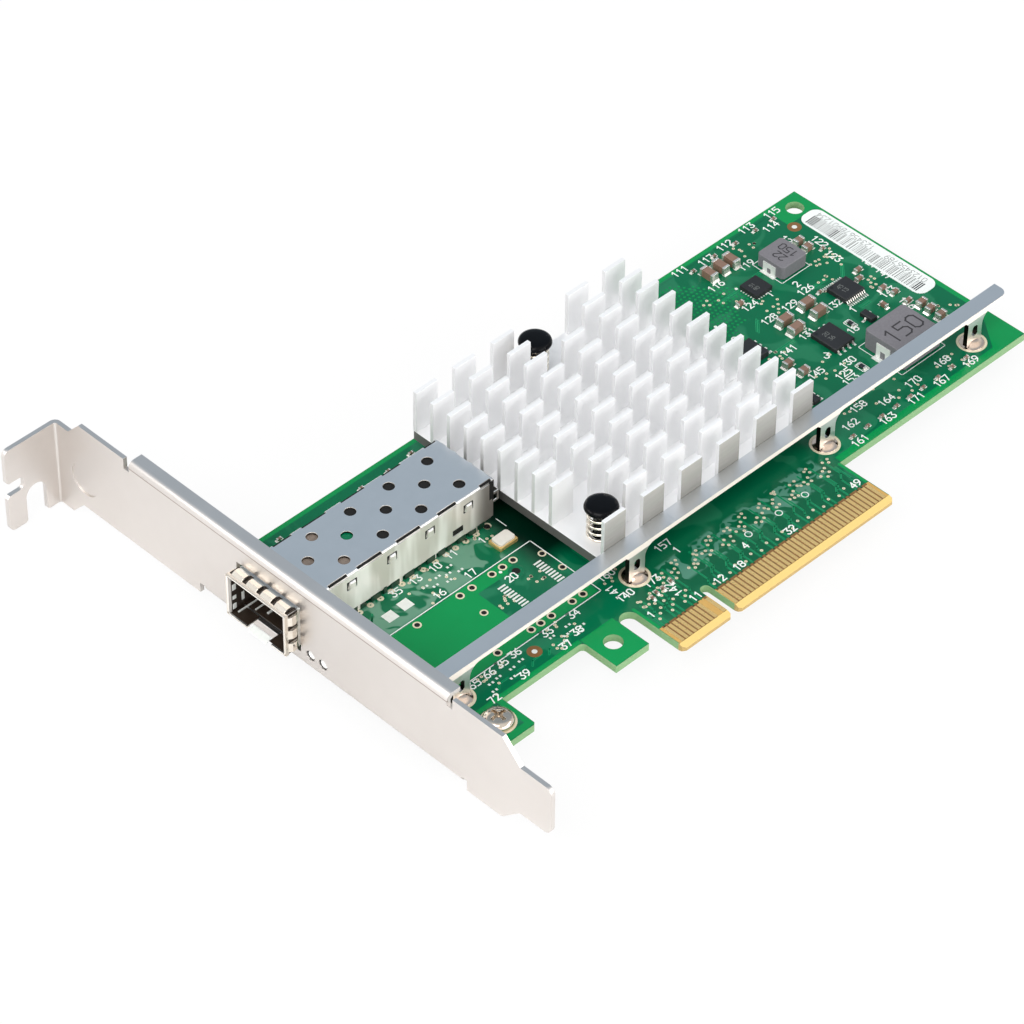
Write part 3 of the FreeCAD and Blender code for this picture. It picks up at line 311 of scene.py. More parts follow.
nickel = satin_nickel_steel()
cage = tinned_cage_steel()
rail = rail_steel()
aluminium = etched_aluminium()
board_finish = solder_mask_board()


# --- plating and solder ----------------------------------------------------

# Bright nickel on thin spring strip: near mirror with sharp highlights.
spring = finish("bright nickel spring strip", ("#f8f2e8", "#e8ddcc"), 3.0, (0.12, 0.2), 1.0, Metallic=1.0)

# Nickel-plated screw steel: bright, slightly warm, with dark reflections in the recess.
screw_steel = finish("nickel-plated screw steel", ("#ddd3c6", "#b9ab9a"), 0.8, (0.1, 0.18), 0.8, Metallic=1.0)

# Hard gold over nickel: a pinkish yellow metal, smooth, with slight handling haze.
gold = finish("hard gold plating", ("#f0cf8c", "#e6c07a"), 5.0, (0.22, 0.34), 1.2, Metallic=0.6)

# Immersion gold on copper pads: pale and satin.
pads = finish("immersion gold pads", ("#f1e9d2", "#e2d3ae"), 1.5, (0.3, 0.42), 0.8, Metallic=0.2)

# Tin solder after reflow: bright, smooth and slightly dimpled.
solder = finish("reflowed tin solder", ("#f3efe9", "#dcd6cd"), 0.8, (0.18, 0.3), 0.6,
                (0.35, 0.01), Metallic=0.8)

# Hot-air levelled tin on flat pads: satin, almost white.
flat_tin = finish("levelled tin pads", ("#f2f4f0", "#dfe3dd"), 0.6, (0.3, 0.45), 0.5, Metallic=0.15)

# Solder wicked up a nickel leg: mirror smooth, tinted rose by the gold under it.
leg_metal = finish("solder on gold", ("#f1dccb", "#dcbfa6"), 1.2, (0.08, 0.18), 1.0, Metallic=1.0)


# --- laminate, mask and ink ------------------------------------------------

def mask_over(name, light, dark, size_mm):
    # Glossy solder mask: its tone says what lies under it.
    return finish(name, (light, dark), size_mm, (0.2, 0.3), 6.0, **MASK)


def plain_shade(name, code, roughness):
    # A flat tone for print, and for tin, nylon or a drilled hole that no light reaches.
    darker = "#%02x%02x%02x" % tuple(int(int(code[i:i + 2], 16) * 0.8) for i in (1, 3, 5))
    return finish(name, (code, darker), 2.0, (roughness - 0.05, roughness + 0.05), 0.5, IOR=1.45)


bright_mask = mask_over("mask over bare laminate", "#069450", "#058b49", 9.0)
trace_mask = mask_over("mask at the edge of copper", "#2a9e6a", "#1d925e", 3.0)
deep_mask = mask_over("mask over copper", "#006a47", "#02734b", 9.0)
pale_resin = mask_over("clear resin margin", "#cfa964", "#c39a55", 3.0)

# Unmasked laminate between the contacts: brown resin with a faint glass weave.
laminate = finish("bare glass-epoxy laminate", ("#8a6230", "#6f4a22"), 0.5, (0.4, 0.55), 0.5, IOR=1.55)

# White epoxy legend ink: flat white, slightly broken at its edges.
ink = finish("white legend ink", ("#fbfdfb", "#e6eee8"), 0.2, (0.45, 0.6), 0.4, IOR=1.5)

# Printed polyester label: white film with a soft satin face.
label = finish("white polyester label", ("#f4f8f7", "#eaf0ee"), 4.0, (0.3, 0.4), 2.0, IOR=1.5)

# Painted shade: a dark tone for the port's inner faces and the gaps between the collar's fingers.
port_shade = plain_shade("painted shade inside the port", "#342a22", 0.3)
wall_foot = plain_shade("mask in the shade of the cage wall", "#123f2b", 0.4)
core_print = plain_shade("dark ink on the inductor cores", "#3c3a3d", 0.6)
half_shade = plain_shade("tin floor in half shade", "#8d7f74", 0.4)
hole_shade = plain_shade("shadow inside drilled holes", "#0c0a08", 0.8)
print_black = plain_shade("black label print", "#16181a", 0.5)
print_grey = plain_shade("fine grey label print", "#7d817f", 0.5)
dimple_shade = plain_shade("polished moulded dimple", "#0c0d10", 0.3)


# --- polymers, packages and cores ------------------------------------------

# Silica-filled epoxy moulding compound: near black, matte, with a fine moulded grain.
compound = finish("black epoxy moulding compound", ("#212225", "#18191b"), 1.2, (0.5, 0.62), 0.5,
                  (0.09, 0.004), IOR=1.5)

# Moulded black nylon with a polished face: deep black with a clear highlight.
nylon = finish("polished black nylon", ("#07080b", "#0a0c10"), 2.0, (0.08, 0.14), 1.0,
               IOR=1.5, Specular_IOR_Level=0.12)

# Glass-filled liquid crystal polymer: black, slightly fibrous and matte.
connector = finish("black liquid crystal polymer", ("#1c1c1e", "#131315"), 0.8, (0.45, 0.6), 0.6, IOR=1.6)

# Sintered barium titanate: tan brown, smooth, a little waxy.
ceramic = finish("barium titanate ceramic", ("#8f7261", "#7b5f4f"), 0.9, (0.35, 0.5), 0.5, IOR=1.6)

# Glass-coated thick-film resistor: black top with a soft gloss.
film = finish("glazed thick-film resistor", ("#24262a", "#17191c"), 0.5, (0.25, 0.4), 0.4, IOR=1.52)

# Pressed iron-powder core under thin lacquer: warm mid grey, slightly speckled.
powder = finish("pressed iron powder core", ("#817f84", "#6d6b70"), 0.35, (0.42, 0.58), 0.5,
                (0.2, 0.012), IOR=1.5)

# Metallised ceramic lid: off-white and satin.
lid = finish("off-white ceramic lid", ("#f1ede4", "#e5dfd3"), 1.5, (0.28, 0.4), 0.8, IOR=1.55)

# Filled silicone pad: grey, soft and dull.
silicone = finish("grey thermal silicone", ("#8d949c", "#7b828a"), 0.6, (0.7, 0.85), 0.5)

# Clear acrylic light pipe: bright and glassy.
lens = finish("clear acrylic light pipe", ("#ffffff", "#f4f6f2"), 0.5, (0.1, 0.2), 0.5,
              IOR=1.49, Transmission_Weight=0.2)

# White polyphthalamide housing: clean white, low gloss.
white = finish("white polyphthalamide", ("#f0efe9", "#e3e2da"), 0.8, (0.4, 0.5), 0.5, IOR=1.55)

FINISHES = {
    "printed_circuit_board": board_finish, "edge_contacts": gold, "bracket": nickel,
    "bracket_screws": screw_steel, "sfp_cage_base": cage, "sfp_cage_cover": cage,
    "sfp_spring_fingers": spring, "sfp_connector_housing": connector, "heat_sink": aluminium,
    "thermal_pad": silicone, "push_pin_front": nylon, "push_pin_rear": nylon,
    "push_pin_spring_front": spring, "push_pin_spring_rear": spring, "stiffener_rail": rail,
    "chip_resistor_bodies": film, "crystal_base": gold, "crystal_lid": lid, "label": label,
    "led_housings": white, "led_lenses": lens,
}
GROUP_FINISHES = (("capacitor_bodies", ceramic), ("inductor_core", powder), ("_leads", solder),
                  ("end_caps", solder), ("terminals", flat_tin), ("contacts", solder))


def finish_of(node_name):
    """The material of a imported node: its own, its group's, or the packages' moulding compound."""
    shared = [material for ending, material in GROUP_FINISHES if node_name.endswith(ending)]
    return FINISHES.get(node_name) or (shared or [compound])[0]


# --- meshes ----------------------------------------------------------------

def mesh_object(name, verts, faces):
    """Linked mesh object from points in millimetres."""
    mesh = bpy.data.meshes.new(name)
    mesh.from_pydata([[v * MM for v in point] for point in verts], [], faces)
    shape = bpy.data.objects.new(name, mesh)
    bpy.context.scene.collection.objects.link(shape)
    return shape


def new_piece(name, verts, faces, material, slot_name, smooth=False):
    """Piece that the viewer sees; it rides on the card's one body."""
    piece = mesh_object(name, verts, faces)
    piece.data.materials.append(material)
    if smooth:
        piece.data.shade_smooth()
    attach(piece, "root")
    return piece


def rounded(piece, width_mm):
    """Soften a piece's edges with a bevel of a real width."""
    bevel = piece.modifiers.new("edge_break", "BEVEL")
    bevel.width = width_mm * MM
    bevel.segments = 2
    bevel.limit_method = "ANGLE"
    bevel.angle_limit = math.radians(30)


def around(x, y, radius, count):
    """Points spread evenly round a circle."""
    turns = [2 * math.pi * i / count for i in range(count)]
    return [(x + radius * math.cos(turn), y + radius * math.sin(turn)) for turn in turns]


def sleeve(rows, sides):
    """Faces of a closed skin over rows of points, capped at both ends; every row has the same count."""
    faces = []
    for row in range(rows - 1):
        for i in range(sides):
            j = (i + 1) % sides
            a, b = row * sides, (row + 1) * sides
            faces.append((a + i, b + i, b + j, a + j))
    faces.append(tuple(range(sides)))
    faces.append(tuple(reversed(range((rows - 1) * sides, rows * sides))))
    return faces


def band_faces(start, count):
    """Faces of a closed band over pairs of points, an inner and an outer one in turn."""
    ends = [(start + 2 * i, start + 2 * ((i + 1) % count)) for i in range(count)]
    return [(a, a + 1, b + 1, b) for a, b in ends]


def lathe(profile, centre, segments=48):
    """Points and faces of a turned form; profile is (radius, height) from the top down, mm."""
    verts = []
    for radius, height in profile:
        verts += [(x, y, TOP + height) for x, y in around(*centre, radius, segments)]
    return verts, sleeve(len(profile), segments)


def tube(path, radius, sides=12):
    """Points and faces of a round wire along a path in mm."""
    verts = []
    path = [Vector(point) for point in path]
    for i, point in enumerate(path):
        ahead = (path[min(i + 1, len(path) - 1)] - path[max(i - 1, 0)]).normalized()
        across = ahead.cross(Vector((0, 0, 1))).normalized()
        over = across.cross(ahead)
        verts += [tuple(point + u * across + v * over) for u, v in around(0, 0, radius, sides)]
    return verts, [(face[0], *face[:0:-1]) for face in sleeve(len(path), sides)]


def cuboid(x0, x1, y0, y1, z0, z1):
    """Points and faces of a box; heights are measured from the board's top face."""
    verts = [(x, y, TOP + z) for z in (z0, z1) for y in (y0, y1) for x in (x0, x1)]
    return verts, [(0, 2, 3, 1), (4, 5, 7, 6), (0, 1, 5, 4), (2, 6, 7, 3), (0, 4, 6, 2), (1, 3, 7, 5)]


def together(parts):
    """One list of points and faces from several."""
    verts, faces = [], []
    for part_verts, part_faces in parts:
        start = len(verts)
        verts += part_verts
        faces += [tuple(start + i for i in face) for face in part_faces]
    return verts, faces


def carved(piece, parts):
    """Cut closed forms out of a piece, once and for all."""
    cutter = mesh_object("cutter", *together(parts))
    cut = piece.modifiers.new("cut", "BOOLEAN")
    cut.operation, cut.solver, cut.object = "DIFFERENCE", "EXACT", cutter
    graph = bpy.context.evaluated_depsgraph_get()
    result = bpy.data.meshes.new_from_object(piece.evaluated_get(graph))
    piece.modifiers.clear()
    piece.data = result
    bpy.data.objects.remove(cutter)


# Strokes of each digit as points (across, up), drawn on a grid 1 wide and 2 high.
DIGITS = {
    "0": [(0.3, 0, 0.7, 0, 1, 0.3, 1, 1.7, 0.7, 2, 0.3, 2, 0, 1.7, 0, 0.3, 0.3, 0)],
    "1": [(0.2, 1.6, 0.6, 2, 0.6, 0)],
    "2": [(0, 1.7, 0.3, 2, 0.7, 2, 1, 1.7, 1, 1.3, 0, 0, 1, 0)],
    "3": [(0, 2, 1, 2, 0.5, 1.2, 1, 0.8, 1, 0.3, 0.7, 0, 0.3, 0, 0, 0.3)],
    "4": [(0.8, 0, 0.8, 2, 0, 0.6, 1, 0.6)],
    "5": [(1, 2, 0, 2, 0, 1.2, 0.7, 1.2, 1, 0.9, 1, 0.3, 0.7, 0, 0, 0)],
    "6": [(0.8, 2, 0.2, 1.4, 0, 0.8, 0, 0.3, 0.3, 0, 0.7, 0, 1, 0.3, 1, 0.8, 0.7, 1.1, 0.1, 1.1)],
    "7": [(0, 2, 1, 2, 0.4, 0)],
    "8": [(0.3, 1.1, 0, 1.4, 0, 1.7, 0.3, 2, 0.7, 2, 1, 1.7, 1, 1.4, 0.7, 1.1, 0.3, 1.1, 0, 0.8, 0, 0.3,
           0.3, 0, 0.7, 0, 1, 0.3, 1, 0.8, 0.7, 1.1)],
    "9": [(0.2, 0, 0.8, 0.6, 1, 1.2, 1, 1.7, 0.7, 2, 0.3, 2, 0, 1.7, 0, 1.2, 0.3, 0.9, 0.9, 0.9)],
}
DIGIT_WIDTH = 0.6                            # width of a digit in its heights
DIGIT_PITCH = 1.45                           # from digit to digit, in digit widths
STROKE_STEP, STROKE_STEPS = 0.0012, 5        # rise from one length of a stroke to the next, mm, and steps


class Layer:
    """Flat printed or plated shapes in one material, a hair above the board, in mm."""

    def __init__(self, name, material, height, slot_name="fr4_board"):
        self.name, self.material, self.height, self.slot_name = name, material, height, slot_name
        self.verts, self.faces, self.lift = [], [], 0.0

    def polygon(self, points):
        start = len(self.verts)
        self.verts += [(x, y, TOP + self.height + self.lift) for x, y in points]
        self.faces.append(tuple(range(start, len(self.verts))))

    def rect(self, x0, x1, y0, y1):
        self.polygon([(x0, y0), (x1, y0), (x1, y1), (x0, y1)])

    def disc(self, x, y, radius, sides=16):
        self.polygon(around(x, y, radius, sides))

    def band(self, inner, outer):
        """Flat closed band between two loops of points."""
        self.faces += band_faces(len(self.verts), len(inner))
        self.verts += [(x, y, TOP + self.height) for pair in zip(inner, outer) for x, y in pair]

    def ring(self, x, y, inner, outer, sides=28):
        self.band(around(x, y, inner, sides), around(x, y, outer, sides))

    def line(self, points, width):
        """Stroke of a width through the points, each length squared off past its ends."""
        for (x0, y0), (x1, y1) in zip(points, points[1:]):
            length = math.hypot(x1 - x0, y1 - y0) or 1.0
            dx, dy = (x1 - x0) / length * width / 2, (y1 - y0) / length * width / 2
            x0, y0, x1, y1 = x0 - dx, y0 - dy, x1 + dx, y1 + dy
            self.polygon([(x0 + dy, y0 - dx), (x1 + dy, y1 - dx), (x1 - dy, y1 + dx), (x0 - dy, y0 + dx)])

    def pierced(self, x0, x1, y0, y1, x, y, radius):
        """Rectangle with a round hole at (x, y)."""
        angles = [2 * math.pi * i / 48 for i in range(48)]
        angles += [math.atan2(v - y, u - x) % (2 * math.pi) for u in (x0, x1) for v in (y0, y1)]
        rim, border = [], []
        for angle in sorted(angles):
            dx, dy = math.cos(angle), math.sin(angle)
            reach = min(((x1 if dx > 0 else x0) - x) / dx if abs(dx) > 1e-9 else 1e9,
                        ((y1 if dy > 0 else y0) - y) / dy if abs(dy) > 1e-9 else 1e9)
            rim.append((x + dx * radius, y + dy * radius))
            border.append((x + dx * reach, y + dy * reach))
        self.band(rim, border)

    def outline(self, x0, x1, y0, y1, width):
        self.line([(x0, y0), (x1, y0), (x1, y1), (x0, y1), (x0, y0)], width)

    def number(self, value, x, y, size=1.4, turn=0.0, width=0.24):
        """Plain stroked number that starts at (x, y) and runs along X turned by some degrees.

        Each length lies a hair above the last, so that they cross without flickering.
        """
        cos, sin = math.cos(math.radians(turn)), math.sin(math.radians(turn))
        drawn = 0
        for place, digit in enumerate(str(value)):
            for stroke in DIGITS[digit]:
                points = []
                for u, v in zip(stroke[::2], stroke[1::2]):
                    along, up = (place * DIGIT_PITCH + u) * size * DIGIT_WIDTH, v * size / 2
                    points.append((x + along * cos - up * sin, y + along * sin + up * cos))
                for length in zip(points, points[1:]):
                    self.lift = STROKE_STEP * (drawn % STROKE_STEPS)
                    self.line(length, width)
                    drawn += 1
        self.lift = 0.0

    def done(self, depth=0.0):
        """Make the piece; with a depth the shapes become thin plates that stand on the board."""
        piece = new_piece(self.name, self.verts, self.faces, self.material, self.slot_name)
        if depth:
            solid = piece.modifiers.new("thickness", "SOLIDIFY")
            solid.thickness = depth * MM
            solid.offset = -1.0
        return piece


def islands(node_name):
    """(low, high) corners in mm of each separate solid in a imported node."""
    work = bmesh.new()
    work.from_mesh(nodes[node_name].data)
    bmesh.ops.remove_doubles(work, verts=work.verts, dist=1e-6)
    seen, found = set(), []
    for vert in work.verts:
        stack, group = [vert], []
        while stack:
            current = stack.pop()
            if current not in seen:
                seen.add(current)
                group.append(current.co / MM)
                stack += [edge.other_vert(current) for edge in current.link_edges]
        if group:
            found.append(tuple(Vector([limit(axis) for axis in zip(*group)]) for limit in (min, max)))
    work.free()
    return found


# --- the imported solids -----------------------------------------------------

EDGE_BREAK = {                               # softened edge of each kind of piece, mm
    "bracket": 0.26, "heat_sink": 0.06, "stiffener_rail": 0.2, "printed_circuit_board": 0.06,
    "sfp_cage_base": 0.05, "large_inductor_core": 0.25, "small_inductor_core": 0.18, "crystal_base": 0.08,
    "crystal_lid": 0.1, "sfp_spring_fingers": 0.03, "sfp_connector_housing": 0.12, "logic_chip_body": 0.06,
    "power_stage_body": 0.06, "flash_chip_body": 0.06, "transistor_body": 0.06,
    "supervisor_chip_body": 0.06, "regulator": 0.06,
}
SMALL_PART_BREAK = 0.05                      # capacitor and resistor bodies and their end caps

for node_name, node in nodes.items():
    node.data.materials.clear()
    node.data.materials.append(finish_of(node_name))
    small_part = node_name.endswith(("_bodies", "_end_caps"))
    width = SMALL_PART_BREAK if small_part else EDGE_BREAK.get(node_name)
    if width:
        weld = node.modifiers.new("weld", "WELD")
        weld.merge_threshold = 1e-6
        rounded(node, width)


# --- push pins, springs and screws -----------------------------------------

def middle_of(node_name):
    """Centre in X and Y, lowest and highest point of a node, in mm and above the board."""
    low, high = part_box(node_name)
    return (low.x + high.x) / 2 / MM, (low.y + high.y) / 2 / MM, low.z / MM - TOP, high.z / MM - TOP


def make_push_pin(place):
    """Turned pin with a domed head and a split barb below the board."""
    node_name = "push_pin_" + place
    x, y, low, high = middle_of(node_name)
    profile = [(0.05, high), (1.3, high - 0.02), (2.1, high - 0.1), (2.6, high - 0.28), (2.92, high - 0.55),
               (3.05, high - 0.9), (3.05, high - 1.1), (2.95, high - 1.28), (1.45, high - 1.32),
               (1.4, high - 1.5), (1.4, -1.62), (1.9, -1.87), (1.0, low), (0.05, low)]
    pin = new_piece("pin_" + place, *lathe(profile, (x, y)), nylon, "black_nylon", smooth=True)
    carved(pin, [cuboid(x - 3, x + 3, y - 0.3, y + 0.3, -4.5, -0.7)])
    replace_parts(pin, node_name)


def make_spring(place):
    """Coil spring under a pin's head: closed coils at both ends, open ones between them."""
    node_name = "push_pin_spring_" + place
    x, y, low, high = middle_of(node_name)
    wire, radius, coils, count, closed = 0.24, 2.3, 5.0, 220, 0.12
    path = []
    for i in range(count + 1):
        share = i / count
        rise = min(1.0, max(0.0, (share - closed) / (1 - 2 * closed)))
        angle = 2 * math.pi * coils * share
        path.append((x + radius * math.cos(angle), y + radius * math.sin(angle),
                     TOP + low + wire + share * 0.25 + rise * (high - low - 2 * wire - 0.25)))
    coil = new_piece("spring_" + place, *tube(path, wire), spring, "spring_steel", smooth=True)
    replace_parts(coil, node_name)


def make_screws():
    """Pan-head screws with a cross recess."""
    parts, cutters = [], []
    for low, high in islands("bracket_screws"):
        x, y = (low.x + high.x) / 2, (low.y + high.y) / 2
        top, foot = high.z - TOP, low.z - TOP
        profile = [(0.05, top), (0.9, top - 0.03), (1.7, top - 0.16), (2.3, top - 0.42), (2.62, top - 0.78),
                   (2.75, top - 1.1), (2.75, 0.06), (2.7, 0.0), (1.3, 0.0), (1.24, -0.1), (1.24, foot + 0.2),
                   (1.05, foot), (0.05, foot)]
        parts.append(lathe(profile, (x, y)))
        for half_x, half_y in ((1.55, 0.3), (0.3, 1.55)):
            cutters.append(cuboid(x - half_x, x + half_x, y - half_y, y + half_y, top - 0.85, top + 1))
        cutters.append(lathe([(0.75, top + 1), (0.62, top - 1.0)], (x, y), 16))
    screws = new_piece("pan_head_screws", *together(parts), screw_steel, "plated_screw_steel", smooth=True)
    for cutter in cutters:
        carved(screws, [cutter])
    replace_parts(screws, "bracket_screws")


for place in ("front", "rear"):
    make_push_pin(place)
    make_spring(place)
make_screws()


# --- transceiver cage ------------------------------------------------------

BRACKET_FACE = -59.05
VENTS = ((55.3, (-18.7, -27.75, -36.7, -45.5)), (51.45, (-23.1, -32.05, -41.1, -49.95)),
         (47.4, (-18.8, -27.7, -36.6, -45.5)))
VENT_RADIUS = 1.07
GREEN_VENT = (-41.1, 51.45)                  # the vent through which the board shows
LIT_VENTS_END = -43.0                        # up to here the tin floor shows in half shade
EDGE_SLOTS = ((-51.8, -47.6), (-45.3, -39.7), (-36.3, -30.8), (-26.7, -22.4), (-16.8, -14.2))
LATCH_XS = (-46.7, -37.5, -28.7, -19.7)
LATCH_HALF, LATCH_LOW, LATCH_HIGH = 1.15, 6.15, 8.05
SIDE_SLOT = (-23.4, -20.9, 2.5, 3.8)         # X from and to, height from and to
CAGE_REAR = -13.8
SHEET, BEND, CAGE_BREAK = 0.2, 0.5, 0.05
# Gaps under the near wall between its feet, each filled with a plate of painted shade: X from and to, and
# height.
UNDERCUTS = ((-50.2, -48.6, 0.9), (-47.9, -45.6, 1.3), (-44.8, -43.6, 0.8), (-42.4, -40.2, 1.2),
             (-39.6, -38.9, 1.5), (-37.8, -35.9, 1.1), (-34.6, -32.5, 1.3), (-31.6, -30.9, 0.8),
             (-29.4, -27.6, 1.2), (-26.8, -25.2, 1.4), (-24.6, -23.6, 0.8), (-22.2, -20.4, 1.2),
             (-19.6, -17.9, 0.9), (-17.0, -15.9, 1.2))

cover_low, cover_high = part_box("sfp_cage_cover")
COVER_FRONT, NEAR_WALL, COVER_FOOT = cover_low.x / MM, cover_low.y / MM, cover_low.z / MM - TOP
FAR_WALL, ROOF = cover_high.y / MM, cover_high.z / MM - TOP


def cage_piece(name, parts, material, edge_break=0.0):
    """One piece of the cage from several closed forms, with softened edges where it has them."""
    piece = new_piece(name, *together(parts), material, "tinned_cage_steel")
    if edge_break:
        rounded(piece, edge_break)
    return piece


def folded_cover():
    """Points and faces of the cover: a sheet folded over the roof with a round bend at each wall."""
    outline, steps = [], 8
    for inset in (0.0, SHEET):
        radius = BEND - inset
        bends = [(radius * math.cos(angle), radius * math.sin(angle))
                 for angle in (math.pi / 2 * i / steps for i in range(steps + 1))]
        side = [(NEAR_WALL + inset, COVER_FOOT)]
        side += [(NEAR_WALL + BEND - u, ROOF - BEND + v) for u, v in bends]
        side += [(FAR_WALL - BEND + v, ROOF - BEND + u) for u, v in bends]
        side.append((FAR_WALL - inset, COVER_FOOT))
        outline.append(side)
    loop = outline[0] + outline[1][::-1]
    count = len(loop)
    verts = [(x, y, TOP + z) for x in (COVER_FRONT, CAGE_REAR) for y, z in loop]
    faces = [(i, (i + 1) % count, count + (i + 1) % count, count + i) for i in range(count)]
    for i in range(count // 2 - 1):
        faces.append((i, count - 1 - i, count - 2 - i, i + 1))
        faces.append((count + i, count + i + 1, 2 * count - 2 - i, 2 * count - 1 - i))
    return verts, faces


def make_cage_cover():
    """Folded cover with true round vents, fold slots and latch windows."""
    cutters = []
    for y, xs in VENTS:
        cutters += [lathe([(VENT_RADIUS, ROOF + 1), (VENT_RADIUS, ROOF - 1)], (x, y), 32) for x in xs]
    for x_left, x_right in EDGE_SLOTS:
        for y_left, y_right in ((NEAR_WALL - 1, NEAR_WALL + 0.62), (FAR_WALL - 0.62, FAR_WALL + 1)):
            cutters.append(cuboid(x_left, x_right, y_left, y_right, ROOF - 0.62, ROOF + 1))
    for x in LATCH_XS:
        for y in (NEAR_WALL, FAR_WALL):
            cutters.append(cuboid(x - LATCH_HALF, x + LATCH_HALF, y - 0.4, y + 0.4, LATCH_LOW, LATCH_HIGH))
    cutters.append(cuboid(*SIDE_SLOT[:2], NEAR_WALL - 1, NEAR_WALL + 0.3, *SIDE_SLOT[2:]))
    cover = cage_piece("cage_cover", [folded_cover()], cage)
    carved(cover, cutters)
    rounded(cover, CAGE_BREAK)
    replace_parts(cover, "sfp_cage_cover")


def make_cage_rear():
    """Rear flap with its four tabs, and the clip that holds it at the near wall."""
    x0, x1 = CAGE_REAR - SHEET, CAGE_REAR
    flap = [cuboid(x0, x1, NEAR_WALL + 0.25, FAR_WALL - 0.25, 5.0, ROOF - 0.02),
            cuboid(x0, x1, NEAR_WALL + 0.25, 46.5, 3.4, 5.1), cuboid(x0, x1, 56.2, FAR_WALL - 0.25, 3.4, 5.1)]
    for y in (NEAR_WALL + 2.2, 49.2, 53.2, FAR_WALL - 2.6):
        flap.append(cuboid(x1 - 0.1, x1 + 0.16, y, y + 1.1, ROOF - 1.1, ROOF - 0.05))
    cage_piece("cage_rear_flap", flap, cage, CAGE_BREAK)
    clip = [cuboid(start, x1 + 1.3, NEAR_WALL, NEAR_WALL + SHEET, low, high)
            for start, low, high in ((x0, 4.3, 4.75), (x0, 6.1, 6.6), (x1 + 0.95, 4.7, 6.15))]
    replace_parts(cage_piece("cage_side_clip", clip, cage, CAGE_BREAK), "sfp_cage_cover")


def make_cage_shadows():
    """Painted shade: the unlit inside of the cage seen through its vents, fold slots, latch windows and side
    slot, strips at the near wall's rear corner and in the gaps under that wall; one vent shows the board, and
    those nearest the bracket a half-lit floor.
    """
    dark = []
    for x_left, x_right in EDGE_SLOTS:
        for y in (NEAR_WALL + 0.22, FAR_WALL - 0.6):
            dark.append(cuboid(x_left, x_right, y, y + 0.38, ROOF - 0.6, ROOF - 0.22))
    for x in LATCH_XS:
        for y in (NEAR_WALL + 0.1, FAR_WALL - 0.19):
            dark.append(cuboid(x - LATCH_HALF, x + LATCH_HALF, y, y + 0.09, LATCH_LOW, LATCH_HIGH))
    # Painted shade strips at the near wall's rear corner and behind its side slot, and under the roof's rear
    # edge.
    dark.append(cuboid(-14.75, -14.05, NEAR_WALL - 0.02, NEAR_WALL + 0.1, 5.4, ROOF - 0.3))
    dark.append(cuboid(*SIDE_SLOT[:2], NEAR_WALL + 0.1, NEAR_WALL + 0.19, *SIDE_SLOT[2:]))
    dark.append(cuboid(-14.05, -13.72, NEAR_WALL - 0.01, NEAR_WALL + 0.3, 4.9, ROOF - 0.25))
    dark.append(cuboid(-14.05, -13.72, NEAR_WALL + 0.3, NEAR_WALL + 2.4, ROOF - 0.5, ROOF - 0.1))
    half_lit, green = [], []
    for spot in ((x, y) for y, xs in VENTS for x in xs):
        if spot == GREEN_VENT:
            group, top, foot = green, 0.5, 0.6
        elif spot[0] < LIT_VENTS_END:
            group, top, foot = half_lit, 0.5, 0.6
        else:
            group, top, foot = dark, 0.32, 0.4
        group.append(lathe([(1.1, ROOF - top), (1.1, ROOF - foot)], spot, 24))
    # Plates of painted shade in the gaps under the near wall.
    feet = [cuboid(x_left, x_right, NEAR_WALL - 0.03, NEAR_WALL + 0.19, 0.02, height)
            for x_left, x_right, height in UNDERCUTS]
    cage_piece("cage_foot_shadow", feet, wall_foot)
    cage_piece("cage_vent_green", green, deep_mask)
    cage_piece("cage_vent_glow", half_lit, half_shade)
    cage_piece("cage_inner_shadow", dark, hole_shade)


def make_latch_bumps():
    """Half-sheared bumps of the base's walls that snap into the cover's windows."""
    shape = ((-0.95, -0.55), (-0.7, -0.78), (0.8, -0.78), (0.95, -0.5), (0.75, 0.78), (-0.55, 0.78))
    centre, sides = 7.05, len(shape)
    parts = []
    for x in LATCH_XS:
        for wall, out in ((NEAR_WALL, -1), (FAR_WALL, 1)):
            verts = []
            for scale, rise in ((1.0, -0.3), (1.0, -0.02), (0.72, 0.26)):
                verts += [(x + u * scale, wall + out * rise, TOP + centre + v * scale) for u, v in shape]
            faces = [(row * sides + i, row * sides + (i + 1) % sides, (row + 1) * sides + (i + 1) % sides,
                      (row + 1) * sides + i) for row in (0, 1) for i in range(sides)]
            faces.append(tuple(range(2 * sides, 3 * sides)))
            parts.append((verts, faces))
    cage_piece("cage_latch_bumps", parts, cage, 0.06)


